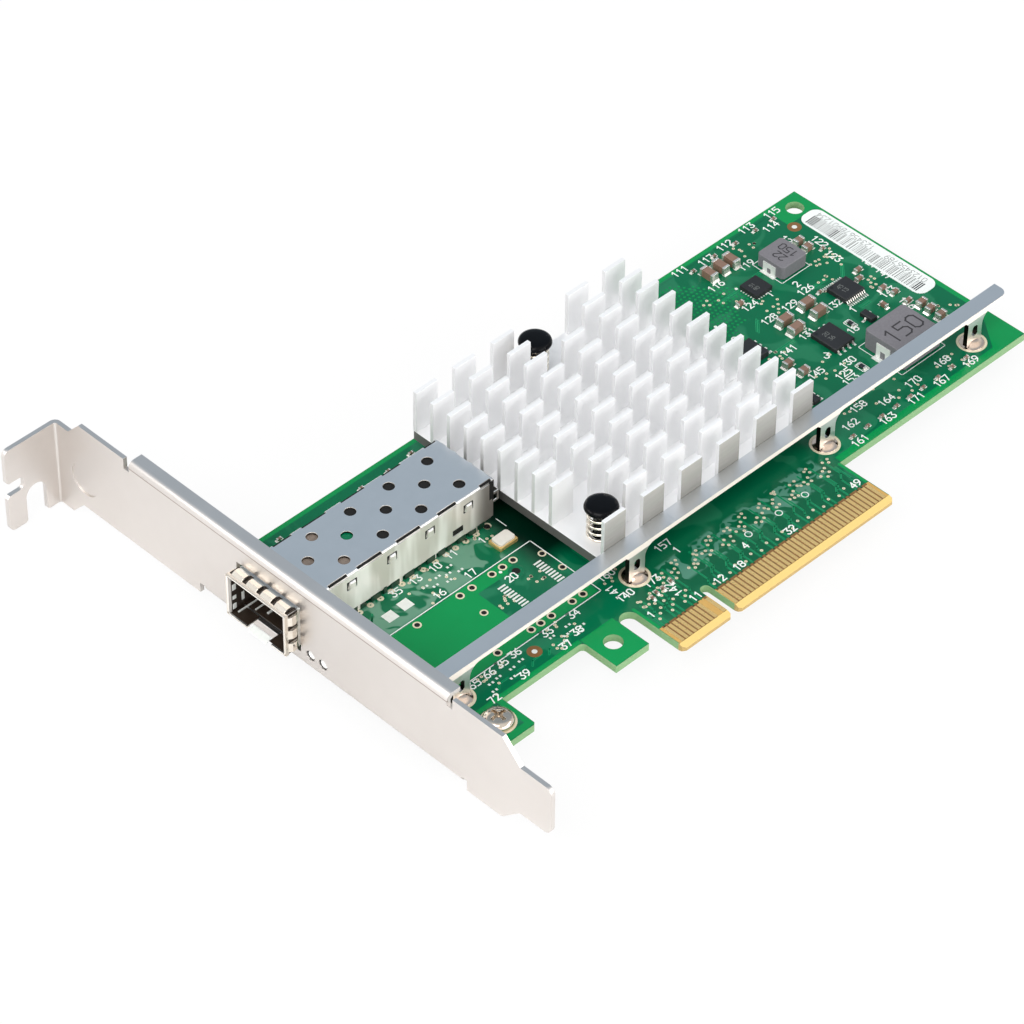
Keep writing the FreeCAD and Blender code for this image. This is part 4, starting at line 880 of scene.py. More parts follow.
def make_port_lining():
    """Painted shade inside the port and between the collar's fingers, tin strips in the port as painted
    highlights, and its tongue.
    """
    wall = 57.9
    # Dark sheets on the port's inner wall and floor: painted shade where no light reaches.
    dark = [cuboid(-61.4, -26.0, wall, 58.0, 1.12, 9.4), cuboid(-58.6, -26.0, 44.7, 58.0, 1.12, 1.18),
            cuboid(-61.7, -59.0, 44.7, 48.6, 1.12, 1.16), cuboid(-61.7, -59.0, 53.9, 58.0, 1.12, 1.16)]
    cage_piece("port_inner_shadow", dark, port_shade)
    # Bright tin strips on the port's wall and floor: painted highlights where light shows through openings
    # and streaks the floor; the tongue added last is a real bent plate.
    bright = [cuboid(-61.3, -60.5, wall - 0.12, wall, low, high)
              for low, high in ((1.7, 2.9), (3.9, 4.7), (6.0, 7.3), (8.3, 9.1))]
    bright += [cuboid(x0, x1, wall - 0.12, wall, low, high)
               for x0, x1, low, high in ((-59.3, -58.7, 2.6, 4.4), (-57.9, -56.2, 6.6, 7.1))]
    for x, y in ((-58.4, 45.6), (-58.4, 47.3), (-58.4, 55.4), (-60.8, 57.0)):
        bright.append(cuboid(x, -44.0, y, y + 0.28, 1.15, 1.4))
    for y in (49.0, 53.2):
        bright.append(cuboid(-57.6, -50.4, y, y + 0.4, 1.2, 1.5))
    bright.append(cuboid(-54.6, -54.2, 49.2, 53.5, 1.2, 1.6))
    tongue = [(x, y, TOP + z) for x, z in ((-61.98, 0.1), (-60.7, 0.86), (-60.78, 0.98), (-62.0, 0.24))
              for y in (49.1, 53.4)]
    sides = [(0, 1, 3, 2), (2, 3, 5, 4), (4, 5, 7, 6), (6, 7, 1, 0), (0, 2, 4, 6), (1, 7, 5, 3)]
    bright.append((tongue, sides))
    rounded(new_piece("port_lit_strips_and_tongue", *together(bright), flat_tin, "tin_plating"), 0.05)
    # Dark strips in the gaps between the collar's fingers: painted shade.
    collar = (BRACKET_FACE - 2.2, BRACKET_FACE - 0.1)
    gaps = [cuboid(*collar, y, y + wide, 9.76, 9.8)
            for y, wide in ((44.3, 0.55), (47.4, 0.97), (50.87, 0.97), (54.34, 0.97), (57.81, 0.6))]
    gaps += [cuboid(*collar, 44.13, 44.18, low, high)
             for low, high in ((1.0, 1.42), (3.33, 4.38), (6.28, 7.33), (9.23, 9.68))]
    cage_piece("collar_gaps", gaps, port_shade)


def make_light_pipe_ends():
    """Clear light-pipe faces set back in the bracket's two holes, with a ring of painted shade in the gap
    round them.
    """
    rise, pipe, hole, sides = 0.95, 0.78, 1.05, 24
    for name, material, depth, inner, outer in (("light_pipe_ends", lens, 0.3, 0.0, pipe),
                                                ("light_pipe_gap_shade", hole_shade, 0.35, pipe, hole)):
        verts, faces = [], []
        for y in (41.3, 38.3):
            faces += band_faces(len(verts), sides)
            loops = zip(around(y, TOP + rise, inner, sides), around(y, TOP + rise, outer, sides))
            verts += [(BRACKET_FACE + depth, *point) for pair in loops for point in pair]
        new_piece(name, verts, faces, material, "led_lens")


make_cage_cover()
make_cage_rear()
make_port_lining()
make_light_pipe_ends()
make_cage_shadows()
make_latch_bumps()


# --- solder at the legs, chips and leads -----------------------------------

LEG_XS = (-47.5, -6.25, 41.2, 79.9)
LEG_Y = 17.775
SCREW_SPOT = (-46.7, 9.5)
CAPPED_PARTS = ("large_capacitor", "medium_capacitor", "small_capacitor", "tiny_capacitor", "chip_resistor")
TWO_ROW_CHIPS = ("logic_chip", "power_stage")            # their leads stand in two rows along X
LEADED_CHIPS = TWO_ROW_CHIPS + ("transistor", "flash_chip", "supervisor_chip")


def make_leg_solder():
    """Gold ring pads with a domed collar of solder round each leg of the rail."""
    ring = Layer("leg_pads", pads, 0.03, "gold_plating")
    profile = [(0.3, 1.0), (0.8, 0.92), (1.3, 0.6), (1.7, 0.3), (2.0, 0.14), (2.25, 0.07), (2.35, 0.03)]
    for x in LEG_XS:
        ring.ring(x, LEG_Y, 0.4, 2.8, 40)
    ring.ring(*SCREW_SPOT, 1.6, 3.15, 40)
    ring.done(0.03)
    domes = [lathe(profile, (x, LEG_Y), 36) for x in LEG_XS]
    new_piece("leg_solder", *together(domes), leg_metal, "tin_plating", smooth=True)


def lay_pad(layer, axis, side, face, back, front, across):
    """Pad under an end face: it runs from behind the face to before it on one axis, and across the other."""
    along = sorted((face - side * back, face + side * front))
    first, second = (along, across) if axis == 0 else (across, along)
    layer.rect(*first, *second)


def fillet(low, high, axis, side, face, spread):
    """Points and faces of the solder that runs from an end cap down to the board."""
    height, bite, inset = (high.z - low.z) * 0.55, 0.02, 0.03
    verts = []
    for end in (low[1 - axis] + inset, high[1 - axis] - inset):
        for out, rise in ((-bite, 0), (spread, 0), (spread * 0.35, height * 0.4), (-bite, height)):
            spot = (face + side * out, end) if axis == 0 else (end, face + side * out)
            verts.append((*spot, TOP + rise))
    return verts, [(0, 1, 2, 3), (7, 6, 5, 4), (0, 4, 5, 1), (1, 5, 6, 2), (2, 6, 7, 3), (3, 7, 4, 0)]


def make_chip_solder():
    """Fillets from each end cap down to its pad, and bright feet under the leads."""
    parts = []
    pad = Layer("chip_pads", flat_tin, 0.02, "tin_plating")
    for kind in CAPPED_PARTS:
        bodies = [(low + high) / 2 for low, high in islands(kind + "_bodies")]
        for low, high in islands(kind + "_end_caps"):
            centre = (low + high) / 2
            away = centre - min(bodies, key=lambda spot: (spot - centre).length)
            axis = 0 if abs(away.x) > abs(away.y) else 1
            side = 1 if away[axis] > 0 else -1
            face = (high if side > 0 else low)[axis]
            spread = 0.16 + 0.16 * (high.z - low.z)
            across = (low[1 - axis] - 0.06, high[1 - axis] + 0.06)
            lay_pad(pad, axis, side, face, 0.3, spread + 0.06, across)
            parts.append(fillet(low, high, axis, side, face, spread))
    for kind in LEADED_CHIPS:
        chip = Vector(middle_of(kind + "_body")[:2])
        for low, high in islands(kind + "_leads"):
            away = ((low + high) / 2).to_2d() - chip
            axis = 0 if abs(away.x) > abs(away.y) and kind not in TWO_ROW_CHIPS else 1
            side = 1 if away[axis] > 0 else -1
            face = (high if side > 0 else low)[axis]
            back, margin = ((0.5, 0.05), (0.4, 0.02))[axis]
            lay_pad(pad, axis, side, face, back, 0.35, (low[1 - axis] - margin, high[1 - axis] + margin))
    pad.done(0.02)
    new_piece("chip_fillets", *together(parts), solder, "tin_plating")


make_leg_solder()
make_chip_solder()


# --- board face ------------------------------------------------------------

NEAR_HOLES = [(x, 20.85) for x in (-35.7, -27.85, -25.6, -23.1, -18.15, -15.6, -45.5)]
FAR_HOLES = [(x, 34.95) for x in (-40.7, -30.7, -27.9, -23.2, -20.7, -18.2)]
POST_HOLE = (-19.72, 32.68)                  # plain hole for the free cage's plastic post
SMALL_HOLES = [(-13.55, 32.64), (-13.41, 27.87), (-30.65, 29.25), (-15.46, 44.03)]
WALL_PAD_XS = (-45.5, -43, -40.7, -38.2, -35.7, -33.2, -30.7, -27.9, -25.4, -23.1, -20.7, -18.2, -15.6)
CONTACT_ROWS = ((-12.45, -1.0), (1.0, 39.45))            # margins of the two rows of edge contacts, X
FIDUCIALS = ((80.9, 61.8), (-31.1, 16.8))
# Strips of mask without copper under it: X from and to, Y from and to.
BARE_STRIPS = ((-57.5, 80.5, 67.9, 68.8), (87.4, 88.4, 13.0, 62.9), (39.9, 87.4, 12.75, 14.2),
               (-57.5, -24.0, 12.75, 13.7), (-43.9, -42.75, 5.0, 12.75), (-57.5, -43.9, 4.9, 6.3),
               (-23.8, -16.2, 12.6, 13.4), (-12.5, -11.9, 6.2, 12.5), (38.9, 39.5, 6.2, 12.75),
               (-57.5, -28.2, 19.6, 36.0), (-28.2, -13.3, 19.6, 23.3), (-28.2, -19.2, 33.2, 36.0))
# Heights above the board of what is printed or plated on it, in the order it is laid.
BARE_RISE, GAP_RISE, MARGIN_RISE, COPPER_RISE, RIM_RISE = 0.004, 0.006, 0.007, 0.008, 0.009
WINDOW_RISE, GOLD_RISE, TIN_RISE, HOLE_RISE, INK_RISE = 0.01, 0.012, 0.014, 0.016, 0.018
PRINT_RISE = 0.006                           # print and dimples on a chip, above its top
CONTACT_ROOT, CONTACT_END = 1.27, 6.1        # window of bare laminate round the contacts, Y


def make_bare_areas():
    """Mask straight over the laminate, brighter than over copper: margins, tabs and the free port's floor."""
    bare = Layer("mask_over_laminate", bright_mask, BARE_RISE)
    for strip in BARE_STRIPS:
        bare.rect(*strip)
    bare.pierced(80.5, 88.4, 62.9, 68.8, 85.0, 65.5, 1.76)
    bare.pierced(-23.8, -16.2, 4.9, 12.6, -20.1, 9.25, 1.73)
    bare.polygon([(81.5, 14.2), (87.4, 14.2), (87.4, 22.0)])
    bare.done()
    hatch = Layer("copper_thieving", bright_mask, BARE_RISE)
    pitch, half = 0.92, 0.3
    for i in range(22):
        for j in range(22):
            x, y = 44.3 + pitch * i + pitch / 2 * (j % 2), 46.5 + pitch * j
            beside_chips = (55.5 < x and y < 52.5) or (y < 49.5 and x > 52.5)
            under_parts = (56.6 < x < 59.0 and 52.6 < y < 54.8) or (56.9 < x < 67 and 60.8 < y)
            if x + y < 118.5 and y < 66.5 and not beside_chips and not under_parts:
                hatch.polygon([(x - half, y), (x, y - half), (x + half, y), (x, y + half)])
    hatch.done()


def make_contact_windows():
    """Bare laminate between the edge contacts, and clear resin where no contact stands."""
    window = Layer("bare_laminate", laminate, GAP_RISE)
    margin = Layer("bare_margin", pale_resin, MARGIN_RISE)
    for x0, x1 in CONTACT_ROWS:
        row = [(low, high) for low, high in islands("edge_contacts") if x0 < low.x < x1 and high.z > 0]
        spans = sorted((low.x, high.x) for low, high in row)
        first, last = spans[0][0], max(end for _, end in spans)
        window.rect(first, last, CONTACT_ROOT, CONTACT_END)
        for start, end in ((x0, first), (last, x1)):
            margin.rect(start, end, CONTACT_ROOT, CONTACT_END - 0.1)
        for (_, left), (right, _) in zip(spans, spans[1:]):
            if right - left > 0.6:                       # place of the contact left out
                margin.rect(left, right, CONTACT_ROOT, CONTACT_END - 0.1)
    window.done()
    margin.done()


# Short pairs of traces between the small parts: from (x, y) to (x, y).
PAIRED_TRACES = (
    (55.5, 56.8, 60.6, 56.8), (65.3, 57.5, 67.4, 57.5), (54.6, 46.6, 56.9, 48.9), (76.8, 46.3, 79.3, 48.8),
    (70.6, 48.0, 74.0, 48.0), (72.9, 38.4, 75.2, 38.4), (52.6, 40.5, 57.4, 40.5), (45.6, 22.4, 52.4, 22.4),
    (53.3, 24.2, 58.9, 24.2))


def make_traces():
    """Copper traces under the mask, each a dark line between two bare gaps."""
    gaps = Layer("trace_gaps", trace_mask, GAP_RISE)
    lines = Layer("trace_copper", deep_mask, COPPER_RISE)
    width, gap = 0.16, 0.09
    routes = []
    for i in (i for i in range(38) if i % 3 != 1):       # up from the long row of contacts
        x, rise, lean = 1.5 + i, 8.0 + (i % 4) * 0.55, (0.6, -0.6, 1.1)[i % 3]
        routes.append([(x, 5.9), (x, rise), (x + lean, rise + abs(lean)), (x + lean, 12.4 + (i % 3) * 1.5)])
    for i in (i for i in range(11) if i % 4 != 2):       # up from the short row
        x, bend = -11.3 + i, 0.5 * (i % 3)
        routes.append([(x, 5.9), (x, 8.6 + bend), (x + 0.5, 9.3 + bend), (x + 0.5, 12.0 + 0.4 * i)])
    for i in range(6):                                   # beside the free port, and behind the bracket
        y, turn = 21.6 + 0.55 * i, -9.2 + 0.3 * i
        routes.append([(-12.2, y), (-10.4, y), (turn, y + 1.2 - 0.1 * i), (turn, y + 8)])
        x, y = 0.5 * i, 37.6 + 0.45 * i
        routes.append([(-56.0 + x, y), (-49.0 + x, y), (-46.8 + x, y + 2.2)])
    for i in range(5):                                   # along the near edge
        x = -41.5 + i * 3.9
        routes.append([(x, 14.6), (x + 0.9, 15.5), (x + 2.9, 15.5)])
    for x0, y0, x1, y1 in PAIRED_TRACES:
        routes += [[(x0, y0 - shift), (x1, y1 - shift)] for shift in (0, 0.5)]
    for route in routes:
        gaps.line(route, width + 2 * gap)
        lines.line(route, width)
    gaps.done()
    lines.done()


# Clusters of vias: centre X and Y, count and reach.
VIA_CLUSTERS = (
    (-26.2, 28.6, 9, 1.5), (-18.2, 29.0, 8, 1.4), (-32, 40, 10, 4.5), (-18.5, 43.2, 6, 2.0),
    (-39.5, 16.4, 9, 3.2), (-25.0, 16.6, 12, 3.4), (-8.5, 11.5, 12, 2.2), (-9.4, 20.8, 6, 2.2),
    (70, 62.5, 9, 4.0), (77.5, 50.5, 14, 3.6), (74, 47.2, 9, 2.8), (63, 49.6, 8, 3.0), (79, 42.0, 8, 2.4),
    (56, 30.5, 9, 3.6), (50, 21.6, 7, 3.0), (60, 18.4, 8, 4.6), (72.5, 17.4, 8, 5.0), (53, 38.8, 7, 2.4),
    (84.0, 27.5, 6, 2.2), (56.0, 57.0, 7, 3.2))
# One cluster behind the contacts, as steps from its first via.
CONTACT_CLUSTER = ((0, 0), (1.0, 0.3), (0.2, 1.2), (1.3, 1.5), (2.5, 2.2), (1.8, 2.9), (2.9, 3.2),
                   (-1.0, 0.7))


def via_spots():
    """Plated vias: clusters and rows behind the edge contacts, and some round the chips."""
    jitter, scatter = random.Random(9), random.Random(5)
    spots = []
    for i in range(11):
        x, y = -5.5 + 4.1 * i, 11.9 + (i % 2) * 0.8
        for dx, dy in CONTACT_CLUSTER:
            spots.append((x + dx + jitter.uniform(-0.25, 0.25), y + dy + jitter.uniform(-0.25, 0.25)))
    spots += [(2.0 + 1.95 * i, 7.1 + 0.7 * (i % 2)) for i in range(19)]
    spots += [(-10.6 + 1.0 * i, 7.6 + 0.9 * (i % 3)) for i in range(9)]
    for x, y, count, reach in VIA_CLUSTERS:
        for _ in range(count):
            spots.append((x + scatter.uniform(-reach, reach), y + scatter.uniform(-reach, reach) * 0.8))
    return spots


# Places of the small parts that aren't fitted, each a pair of tinned pads.
EMPTY_PLACES = (
    (-30.2, 40.9), (-28.4, 40.2), (-31.9, 39.6), (-27.0, 41.4), (-26.3, 39.4), (-29.4, 38.9), (-33.4, 40.6),
    (-41.5, 16.5), (-39.6, 16.7), (-36.5, 16.6), (-34.2, 16.9), (-37.9, 15.0), (-42.2, 14.9), (-26.6, 17.2),
    (-22.8, 17.3), (-24.6, 15.9), (-21.0, 15.7), (-26.0, 14.9), (-22.4, 14.7))
# Larger tinned pads: centre X and Y, half width and half depth.
LARGE_PADS = ((-42.5, 39.6, 1.15, 1.1), (-38.7, 39.9, 1.15, 1.1), (65.0, 25.65, 1.15, 1.8),
              (75.2, 25.65, 1.15, 1.8), (67.95, 56.0, 0.85, 1.7), (74.45, 56.0, 0.85, 1.7))


def make_plating():
    """Ring pads, vias, bare pads and fiducials, with painted shade in the drilled holes."""
    metal = Layer("bare_pads", pads, GOLD_RISE, "gold_plating")
    tin = Layer("tinned_pads", flat_tin, TIN_RISE, "tin_plating")
    # Dark discs over the drilled holes and the post hole: painted shade.
    dark = Layer("drilled_hole_shade", hole_shade, HOLE_RISE)
    for spots, drill, rim, sides, hole_sides in ((NEAR_HOLES + FAR_HOLES, 0.5, 0.8, 28, 20),
                                                 (SMALL_HOLES, 0.47, 0.76, 28, 20),
                                                 (via_spots(), 0.08, 0.3, 10, 8)):
        for x, y in spots:
            metal.ring(x, y, drill, rim, sides)
            dark.disc(x, y, drill, hole_sides)
    dark.disc(*POST_HOLE, 0.75, 24)
    rim = Layer("post_hole_rim", deep_mask, RIM_RISE)
    rim.ring(*POST_HOLE, 0.75, 1.4)
    rim.done()
    places = [(x, 25.3 + i * 0.7, 0.85, 0.19) for x in (-24.2, -15.7) for i in range(10)]
    places += [(x + shift, y, 0.21, 0.24) for x, y in EMPTY_PLACES for shift in (-0.41, 0.41)]
    x, y, _, _ = middle_of("regulator")
    for offset in (-1.5, -0.9, -0.3, 0.3, 0.9, 1.5):
        for side in (-2.15, 2.15):
            places += [(x + side, y + offset, 0.28, 0.13), (x + offset, y + side, 0.13, 0.28)]
    for x, y, half_x, half_y in [*LARGE_PADS, *places]:
        tin.rect(x - half_x, x + half_x, y - half_y, y + half_y)
    for x in WALL_PAD_XS:
        metal.ring(x, 43.85, 0.15, 0.62, 14)
    halo = Layer("fiducial_windows", laminate, WINDOW_RISE)
    for x, y in FIDUCIALS:
        halo.disc(x, y, 1.35, 28)
        tin.disc(x, y, 0.5, 20)
    for layer in (halo, metal, tin, dark):
        layer.done()


# Numbers printed along X: value, and X and Y of its start.
LEGEND = (
    (20, -22.4, 31.4), (161, 44.6, 13.4), (162, 46.5, 17.4), (158, 51.0, 19.6), (163, 52.4, 13.9),
    (164, 55.8, 17.3), (171, 59.9, 14.0), (170, 62.8, 17.3), (167, 66.6, 13.9), (168, 70.6, 17.3),
    (169, 74.2, 13.7), (113, 72.6, 67.0), (114, 76.2, 64.2), (115, 79.2, 66.8), (143, 77.9, 36.8),
    (111, 55.0, 67.0), (116, 56.8, 59.6), (117, 60.8, 65.9), (112, 66.2, 66.4), (124, 57.2, 51.6),
    (1, 63.3, 51.3), (2, 68.8, 49.8), (126, 67.6, 47.6), (129, 62.4, 46.6), (128, 57.0, 46.6),
    (132, 68.2, 41.2), (131, 58.9, 39.1), (141, 53.2, 38.4), (145, 52.2, 30.8), (130, 58.4, 28.9),
    (118, 65.0, 34.2), (1, 70.9, 37.9), (125, 55.6, 27.3), (153, 55.4, 25.4), (2, 49.8, 47.0),
    (119, 65.0, 59.8), (10, -29.9, 42.2), (11, -25.8, 42.6), (13, -34.4, 42.3), (16, -33.9, 37.0),
    (17, -26.7, 36.9), (35, -38.9, 42.4), (1, -19.0, 41.4), (65, -44.6, 17.6), (66, -41.1, 17.7),
    (35, -38.0, 17.9), (36, -34.8, 18.1), (72, -44.6, 12.9), (39, -37.1, 13.5), (37, -27.3, 13.6),
    (38, -23.6, 14.6), (33, -27.5, 17.9), (34, -21.2, 17.9), (160, -11.3, 20.6), (140, -12.4, 14.9),
    (1, -11.4, 8.7), (11, -3.5, 6.5), (12, 2.4, 6.5), (18, 7.2, 6.5), (32, 19.9, 6.5), (49, 36.4, 6.5),
    (4, 12.1, 9.2), (1, 3.0, 16.6), (173, -6.7, 14.2), (157, 0.9, 19.0), (1, -36.9, 64.0))
# Numbers printed at a turn: value, X, Y and degrees.
TURNED_LEGEND = (
    (120, 76.4, 61.4, -90), (122, 80.4, 57.4, -90), (123, 79.2, 52.8, -90), (127, 82.6, 47.0, -90),
    (147, 82.2, 43.2, -90), (146, 79.0, 34.6, -90), (3, 57.9, 33.2, -45), (141, -10.8, 15.8, 90),
    (142, -3.2, 9.3, 90))
# Printed outlines of parts: X from and to, Y from and to.
OUTLINES = ((64.4, 75.9, 20.5, 31.0), (67.5, 74.9, 52.4, 59.8), (67.35, 68.85, 35.05, 37.35),
            (60.15, 61.65, 25.75, 28.05))
# Printed strokes: their points and width. The first goes round the free port.
STROKES = (([(-57.2, 36.3), (-12.8, 36.3), (-12.8, 19.3), (-57.2, 19.3)], 0.2),
           ([(-57.2, 44.0), (-50.0, 44.0)], 0.18), ([(-13.1, 44.2), (-13.1, 41.8)], 0.18),
           ([(46.2, 52.2), (47.5, 52.2), (47.5, 50.9)], 0.17))
PIN_ONE_DOTS = ((71.0, 46.2), (50.2, 52.6), (60.6, 39.9), (60.5, 57.2), (-21.8, 34.3))


def make_legend():
    """White legend: outlines round the parts and plain numbers beside them."""
    white_ink = Layer("legend", ink, INK_RISE)
    for points, width in STROKES:
        white_ink.line(points, width)
    for corners in OUTLINES:
        white_ink.outline(*corners, 0.17)
    for x, y in PIN_ONE_DOTS:
        white_ink.disc(x, y, 0.32, 14)
    for value, x, y, turn in [*[(*row, 0) for row in LEGEND], *TURNED_LEGEND]:
        white_ink.number(value, x, y, turn=turn)
    for x in (15.0, 22.6, 29.2):
        white_ink.ring(x, 11.4, 0.55, 0.72, 20)
    white_ink.done()


def make_label_face():
    """Rounded label with a bar pattern and plain counting digits."""
    low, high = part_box("label")
    x0, x1, y0, y1, face = low.x / MM, high.x / MM, low.y / MM, high.y / MM, high.z / MM - TOP
    film = Layer("label_film", label, face, "label_paper")
    radius, points = 1.9, []
    for x, y, start in ((x1 - radius, y0 + radius, -90), (x1 - radius, y1 - radius, 0),
                        (x0 + radius, y1 - radius, 90), (x0 + radius, y0 + radius, 180)):
        for angle in (math.radians(start + 90 * i / 8) for i in range(9)):
            points.append((x + radius * math.cos(angle), y + radius * math.sin(angle)))
    film.polygon(points)
    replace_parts(film.done(0.1), "label")
    print_ink = Layer("label_print", print_black, face + 0.008, "label_paper")
    fine_ink = Layer("label_fine_print", print_grey, face + 0.008, "label_paper")
    widths = random.Random(3)
    y = y0 + 1.6
    while y < y1 - 1.8:
        heavy = y < y0 + 2.8 or y > y1 - 3.4 or abs(y - y1 + 7.6) < 0.4
        width = 0.24 if heavy else widths.choice((0.06, 0.06, 0.1, 0.16))
        (print_ink if heavy else fine_ink).rect(x0 + 0.45, x0 + 3.1, y, y + width)
        y += width + (0.2 if heavy else widths.choice((0.12, 0.18, 0.26, 0.4)))
    for value, start in (("0123456789", y0 + 2.2), ("12345", y0 + 15.0), ("678901234", y1 - 10.4)):
        fine_ink.number(value, x1 - 0.7, start, size=1.15, turn=90, width=0.1)
    print_ink.done()
    fine_ink.done()


# Moulded pin-one dimples: package, and X and Y from its centre.
DIMPLES = (("logic_chip_body", -1.9, 1.7), ("power_stage_body", -1.8, 2.3), ("flash_chip_body", -1.3, 1.8))
# Numbers on parts, two lines at most: each is value, X and Y from the centre, size, turn and stroke width.
CORE_PRINT = {"large_inductor_core": ((150, -4.1, -1.7, 3.4, 0, 0.34),),
              "small_inductor_core": ((22, -0.2, -1.5, 1.6, 90, 0.24), (150, 2.1, -2.1, 1.6, 90, 0.24))}
CHIP_PRINT = {"logic_chip_body": ((45, -1.2, 0.5, 0.8, 0, 0.1), (13, -1.2, -0.8, 0.8, 0, 0.1)),
              "power_stage_body": ((20, -1.2, 0.7, 0.8, 0, 0.1), (36, -1.2, -0.7, 0.8, 0, 0.1)),
              "regulator": ((51, -1.0, 0.2, 0.7, 0, 0.09), (80, -1.0, -0.9, 0.7, 0, 0.09))}


def make_chip_dots():
    """Moulded pin-one dimples of the packages."""
    dots = Layer("pin_one_dimples", dimple_shade, 0.0, "moulding_compound")
    for node_name, dx, dy in DIMPLES:
        x, y, _, high = middle_of(node_name)
        dots.height = high + PRINT_RISE
        dots.disc(x + dx, y + dy, 0.32, 20)
    dots.done()


def make_part_print():
    """Plain numbers on the inductors and the larger chips."""
    for prints, material, slot_name in ((CORE_PRINT, core_print, "pressed_iron_powder"),
                                        (CHIP_PRINT, print_grey, "moulding_compound")):
        for node_name, lines in prints.items():
            x, y, _, high = middle_of(node_name)
            marks = Layer(node_name + "_print", material, high + PRINT_RISE, slot_name)
            for value, dx, dy, size, turn, width in lines:
                marks.number(value, x + dx, y + dy, size=size, turn=turn, width=width)
            marks.done()


def make_terminal_notches():
    """The core seen between the two legs of each terminal plate that faces the bracket."""
    parts = []
    for node_name, half in (("large_inductor_terminals", 0.55), ("small_inductor_terminals", 0.4)):
        low, high = min(islands(node_name), key=lambda corners: corners[0].x)
        middle, top = (low.y + high.y) / 2, (high.z - low.z) * 0.55
        parts.append(cuboid(low.x - 0.03, low.x + 0.1, middle - half, middle + half, 0.16, top))
    new_piece("terminal_notches", *together(parts), powder, "pressed_iron_powder")


make_bare_areas()
make_contact_windows()
make_traces()
make_plating()
make_legend()
make_label_face()
make_chip_dots()
make_part_print()
make_terminal_notches()


# --- stage, light and camera -----------------------------------------------

CAMERA_AZIMUTH, CAMERA_ELEVATION, CAMERA_ROLL = (math.radians(turn) for turn in (-44.91, 43.11, 0.40))
CAMERA_TARGET = Vector((-9.95, 43.54, TOP)) * MM
CAMERA_DISTANCE = 798.85 * MM
CAMERA_LENS, CAMERA_SENSOR = 163.85, 36.0
LIT_SPOT = (0.0, 0.045, 0.0)                 # where the lamps point, m
FLOOR_HALF, FLOOR_GAP = 4.0, 0.0002          # half the floor's width and its gap under the card, m
CARD_DIRECTION = (-0.5155, -0.517, -0.683)   # from the grey card toward the object
DIM, PLAIN_WHITE = (0.66, 0.66, 0.66, 1), (1, 1, 1, 1)


def make_floor():
    """White paper under the card: white to the camera, and it keeps the shadow."""
    mesh = bpy.data.meshes.new("studio_floor")
    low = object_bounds()[0][2] - FLOOR_GAP
    corners = [(x * FLOOR_HALF, y * FLOOR_HALF, low) for x, y in ((-1, -1), (1, -1), (1, 1), (-1, 1))]
    mesh.from_pydata(corners, [], [(0, 1, 2, 3)])
    floor = bpy.data.objects.new("studio_floor", mesh)
    bpy.context.scene.collection.objects.link(floor)
    material, tree, shader = new_material("white studio paper", Base_Color="#fafafa", Roughness=0.9)
    seen = add(tree, "LightPath").outputs["Is Camera Ray"]
    glow = add(tree, "Emission", {"Color": PLAIN_WHITE, "Strength": 1.0})
    share = add(tree, "Math", {0: seen, 1: 0.9}, operation="MULTIPLY")
    mix = add(tree, "MixShader", {0: share, 1: shader, 2: glow})
    feed(tree, tree.nodes["Material Output"], {"Surface": mix})
    mesh.materials.append(material)


def area_light(name, place, size, power):
    """Rectangular softbox at a place in metres, turned to the card."""
    lamp = bpy.data.lights.new(name, "AREA")
    lamp.shape = "RECTANGLE"
    lamp.size, lamp.size_y = size
    lamp.energy = power
    holder = bpy.data.objects.new(name, lamp)
    holder.location = place
    holder.rotation_euler = (Vector(LIT_SPOT) - Vector(place)).to_track_quat("-Z", "Y").to_euler()
    bpy.context.scene.collection.objects.link(holder)


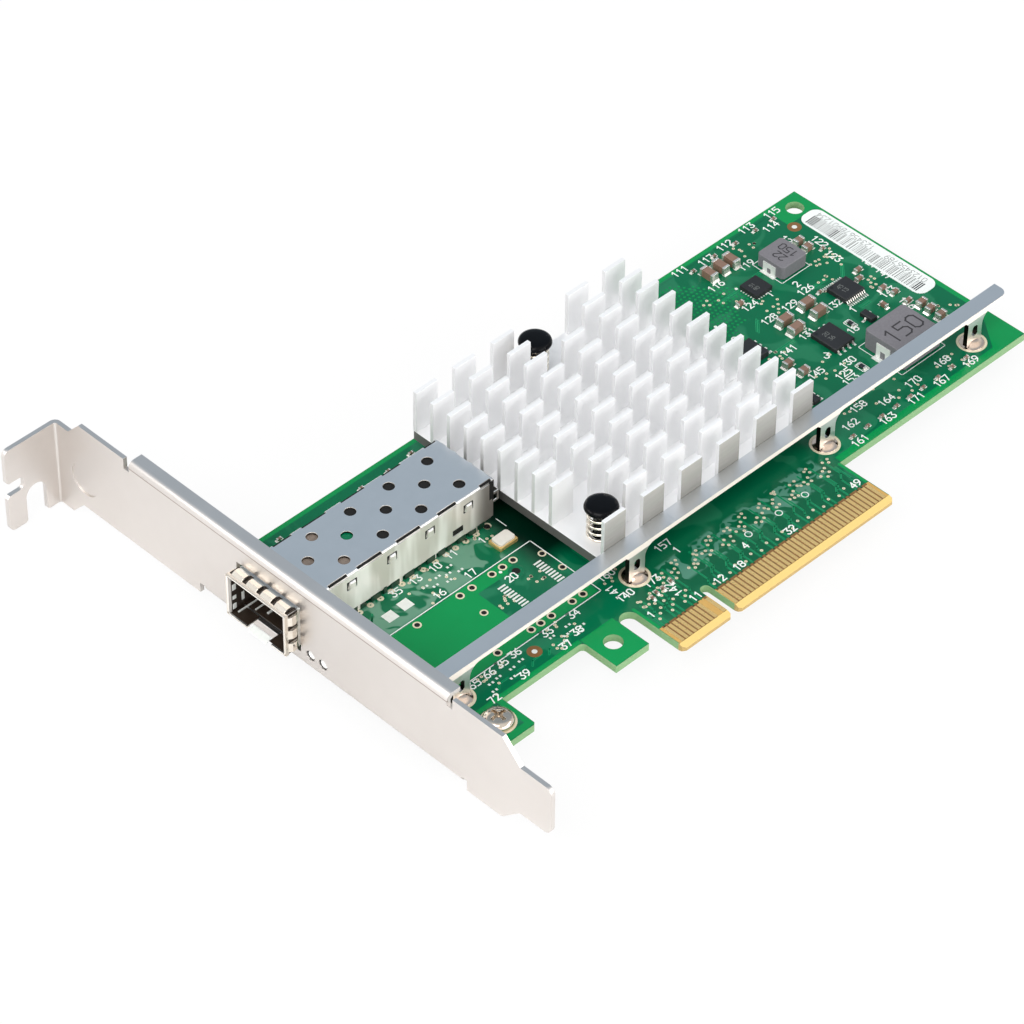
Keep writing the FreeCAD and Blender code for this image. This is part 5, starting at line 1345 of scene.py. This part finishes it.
def make_world():
    """White surroundings with a dim blue-grey card high behind the object, seen only in reflections."""
    world = bpy.data.worlds.new("studio")
    world.use_nodes = True
    tree = world.node_tree
    ray = add(tree, "LightPath")
    incoming = add(tree, "NewGeometry").outputs["Incoming"]
    toward = add(tree, "VectorMath", {0: incoming, 1: CARD_DIRECTION}, operation="DOT_PRODUCT")
    card = add(tree, "MapRange", {"Value": toward, "From Min": 0.5, "From Max": 0.78},
               interpolation_type="SMOOTHSTEP")
    tone = add(tree, "Mix", {"Factor": card, A: "#ffffff", B: "#aebcc9"}, data_type="RGBA")
    soft = add(tree, "Mix", {"Factor": ray.outputs["Is Glossy Ray"], A: DIM, B: tone}, data_type="RGBA")
    seen = add(tree, "Math", {0: ray.outputs["Is Camera Ray"], 1: ray.outputs["Is Transmission Ray"]},
               operation="MAXIMUM")
    final = add(tree, "Mix", {"Factor": seen, A: soft, B: PLAIN_WHITE}, data_type="RGBA")
    feed(tree, tree.nodes["Background"], {"Color": final})
    bpy.context.scene.world = world


def make_camera():
    """Long lens looking down on the card over its bracket end."""
    level = math.cos(CAMERA_ELEVATION)
    back = Vector((math.sin(CAMERA_AZIMUTH) * level, -math.cos(CAMERA_AZIMUTH) * level,
                   math.sin(CAMERA_ELEVATION)))
    right = (-back).cross(Vector((0, 0, 1))).normalized()
    up = right.cross(-back)
    cos, sin = math.cos(CAMERA_ROLL), math.sin(CAMERA_ROLL)
    axes = Matrix((cos * right + sin * up, cos * up - sin * right, back)).transposed()
    data = bpy.data.cameras.new("studio_camera")
    data.sensor_width, data.lens, data.clip_end = CAMERA_SENSOR, CAMERA_LENS, 20
    camera = bpy.data.objects.new("studio_camera", data)
    camera.matrix_world = Matrix.Translation(CAMERA_TARGET + back * CAMERA_DISTANCE) @ axes.to_4x4()
    bpy.context.scene.collection.objects.link(camera)
    bpy.context.scene.camera = camera


make_floor()
make_world()
make_camera()
area_light("key_softbox", (-0.75, -0.2, 0.95), (0.8, 0.8), 6.5)
area_light("front_softbox", (0.1, -1.2, 0.38), (1.3, 0.6), 6.6)
area_light("bracket_softbox", (-1.2, -0.1, 0.12), (0.5, 0.3), 0.7)
area_light("left_rim_strip", (-0.86, 0.7, 0.65), (0.7, 0.28), 2.6)
area_light("right_rim_strip", (0.65, -0.82, 0.65), (0.7, 0.28), 2.6)

bpy.context.scene.view_settings.view_transform = "Standard"
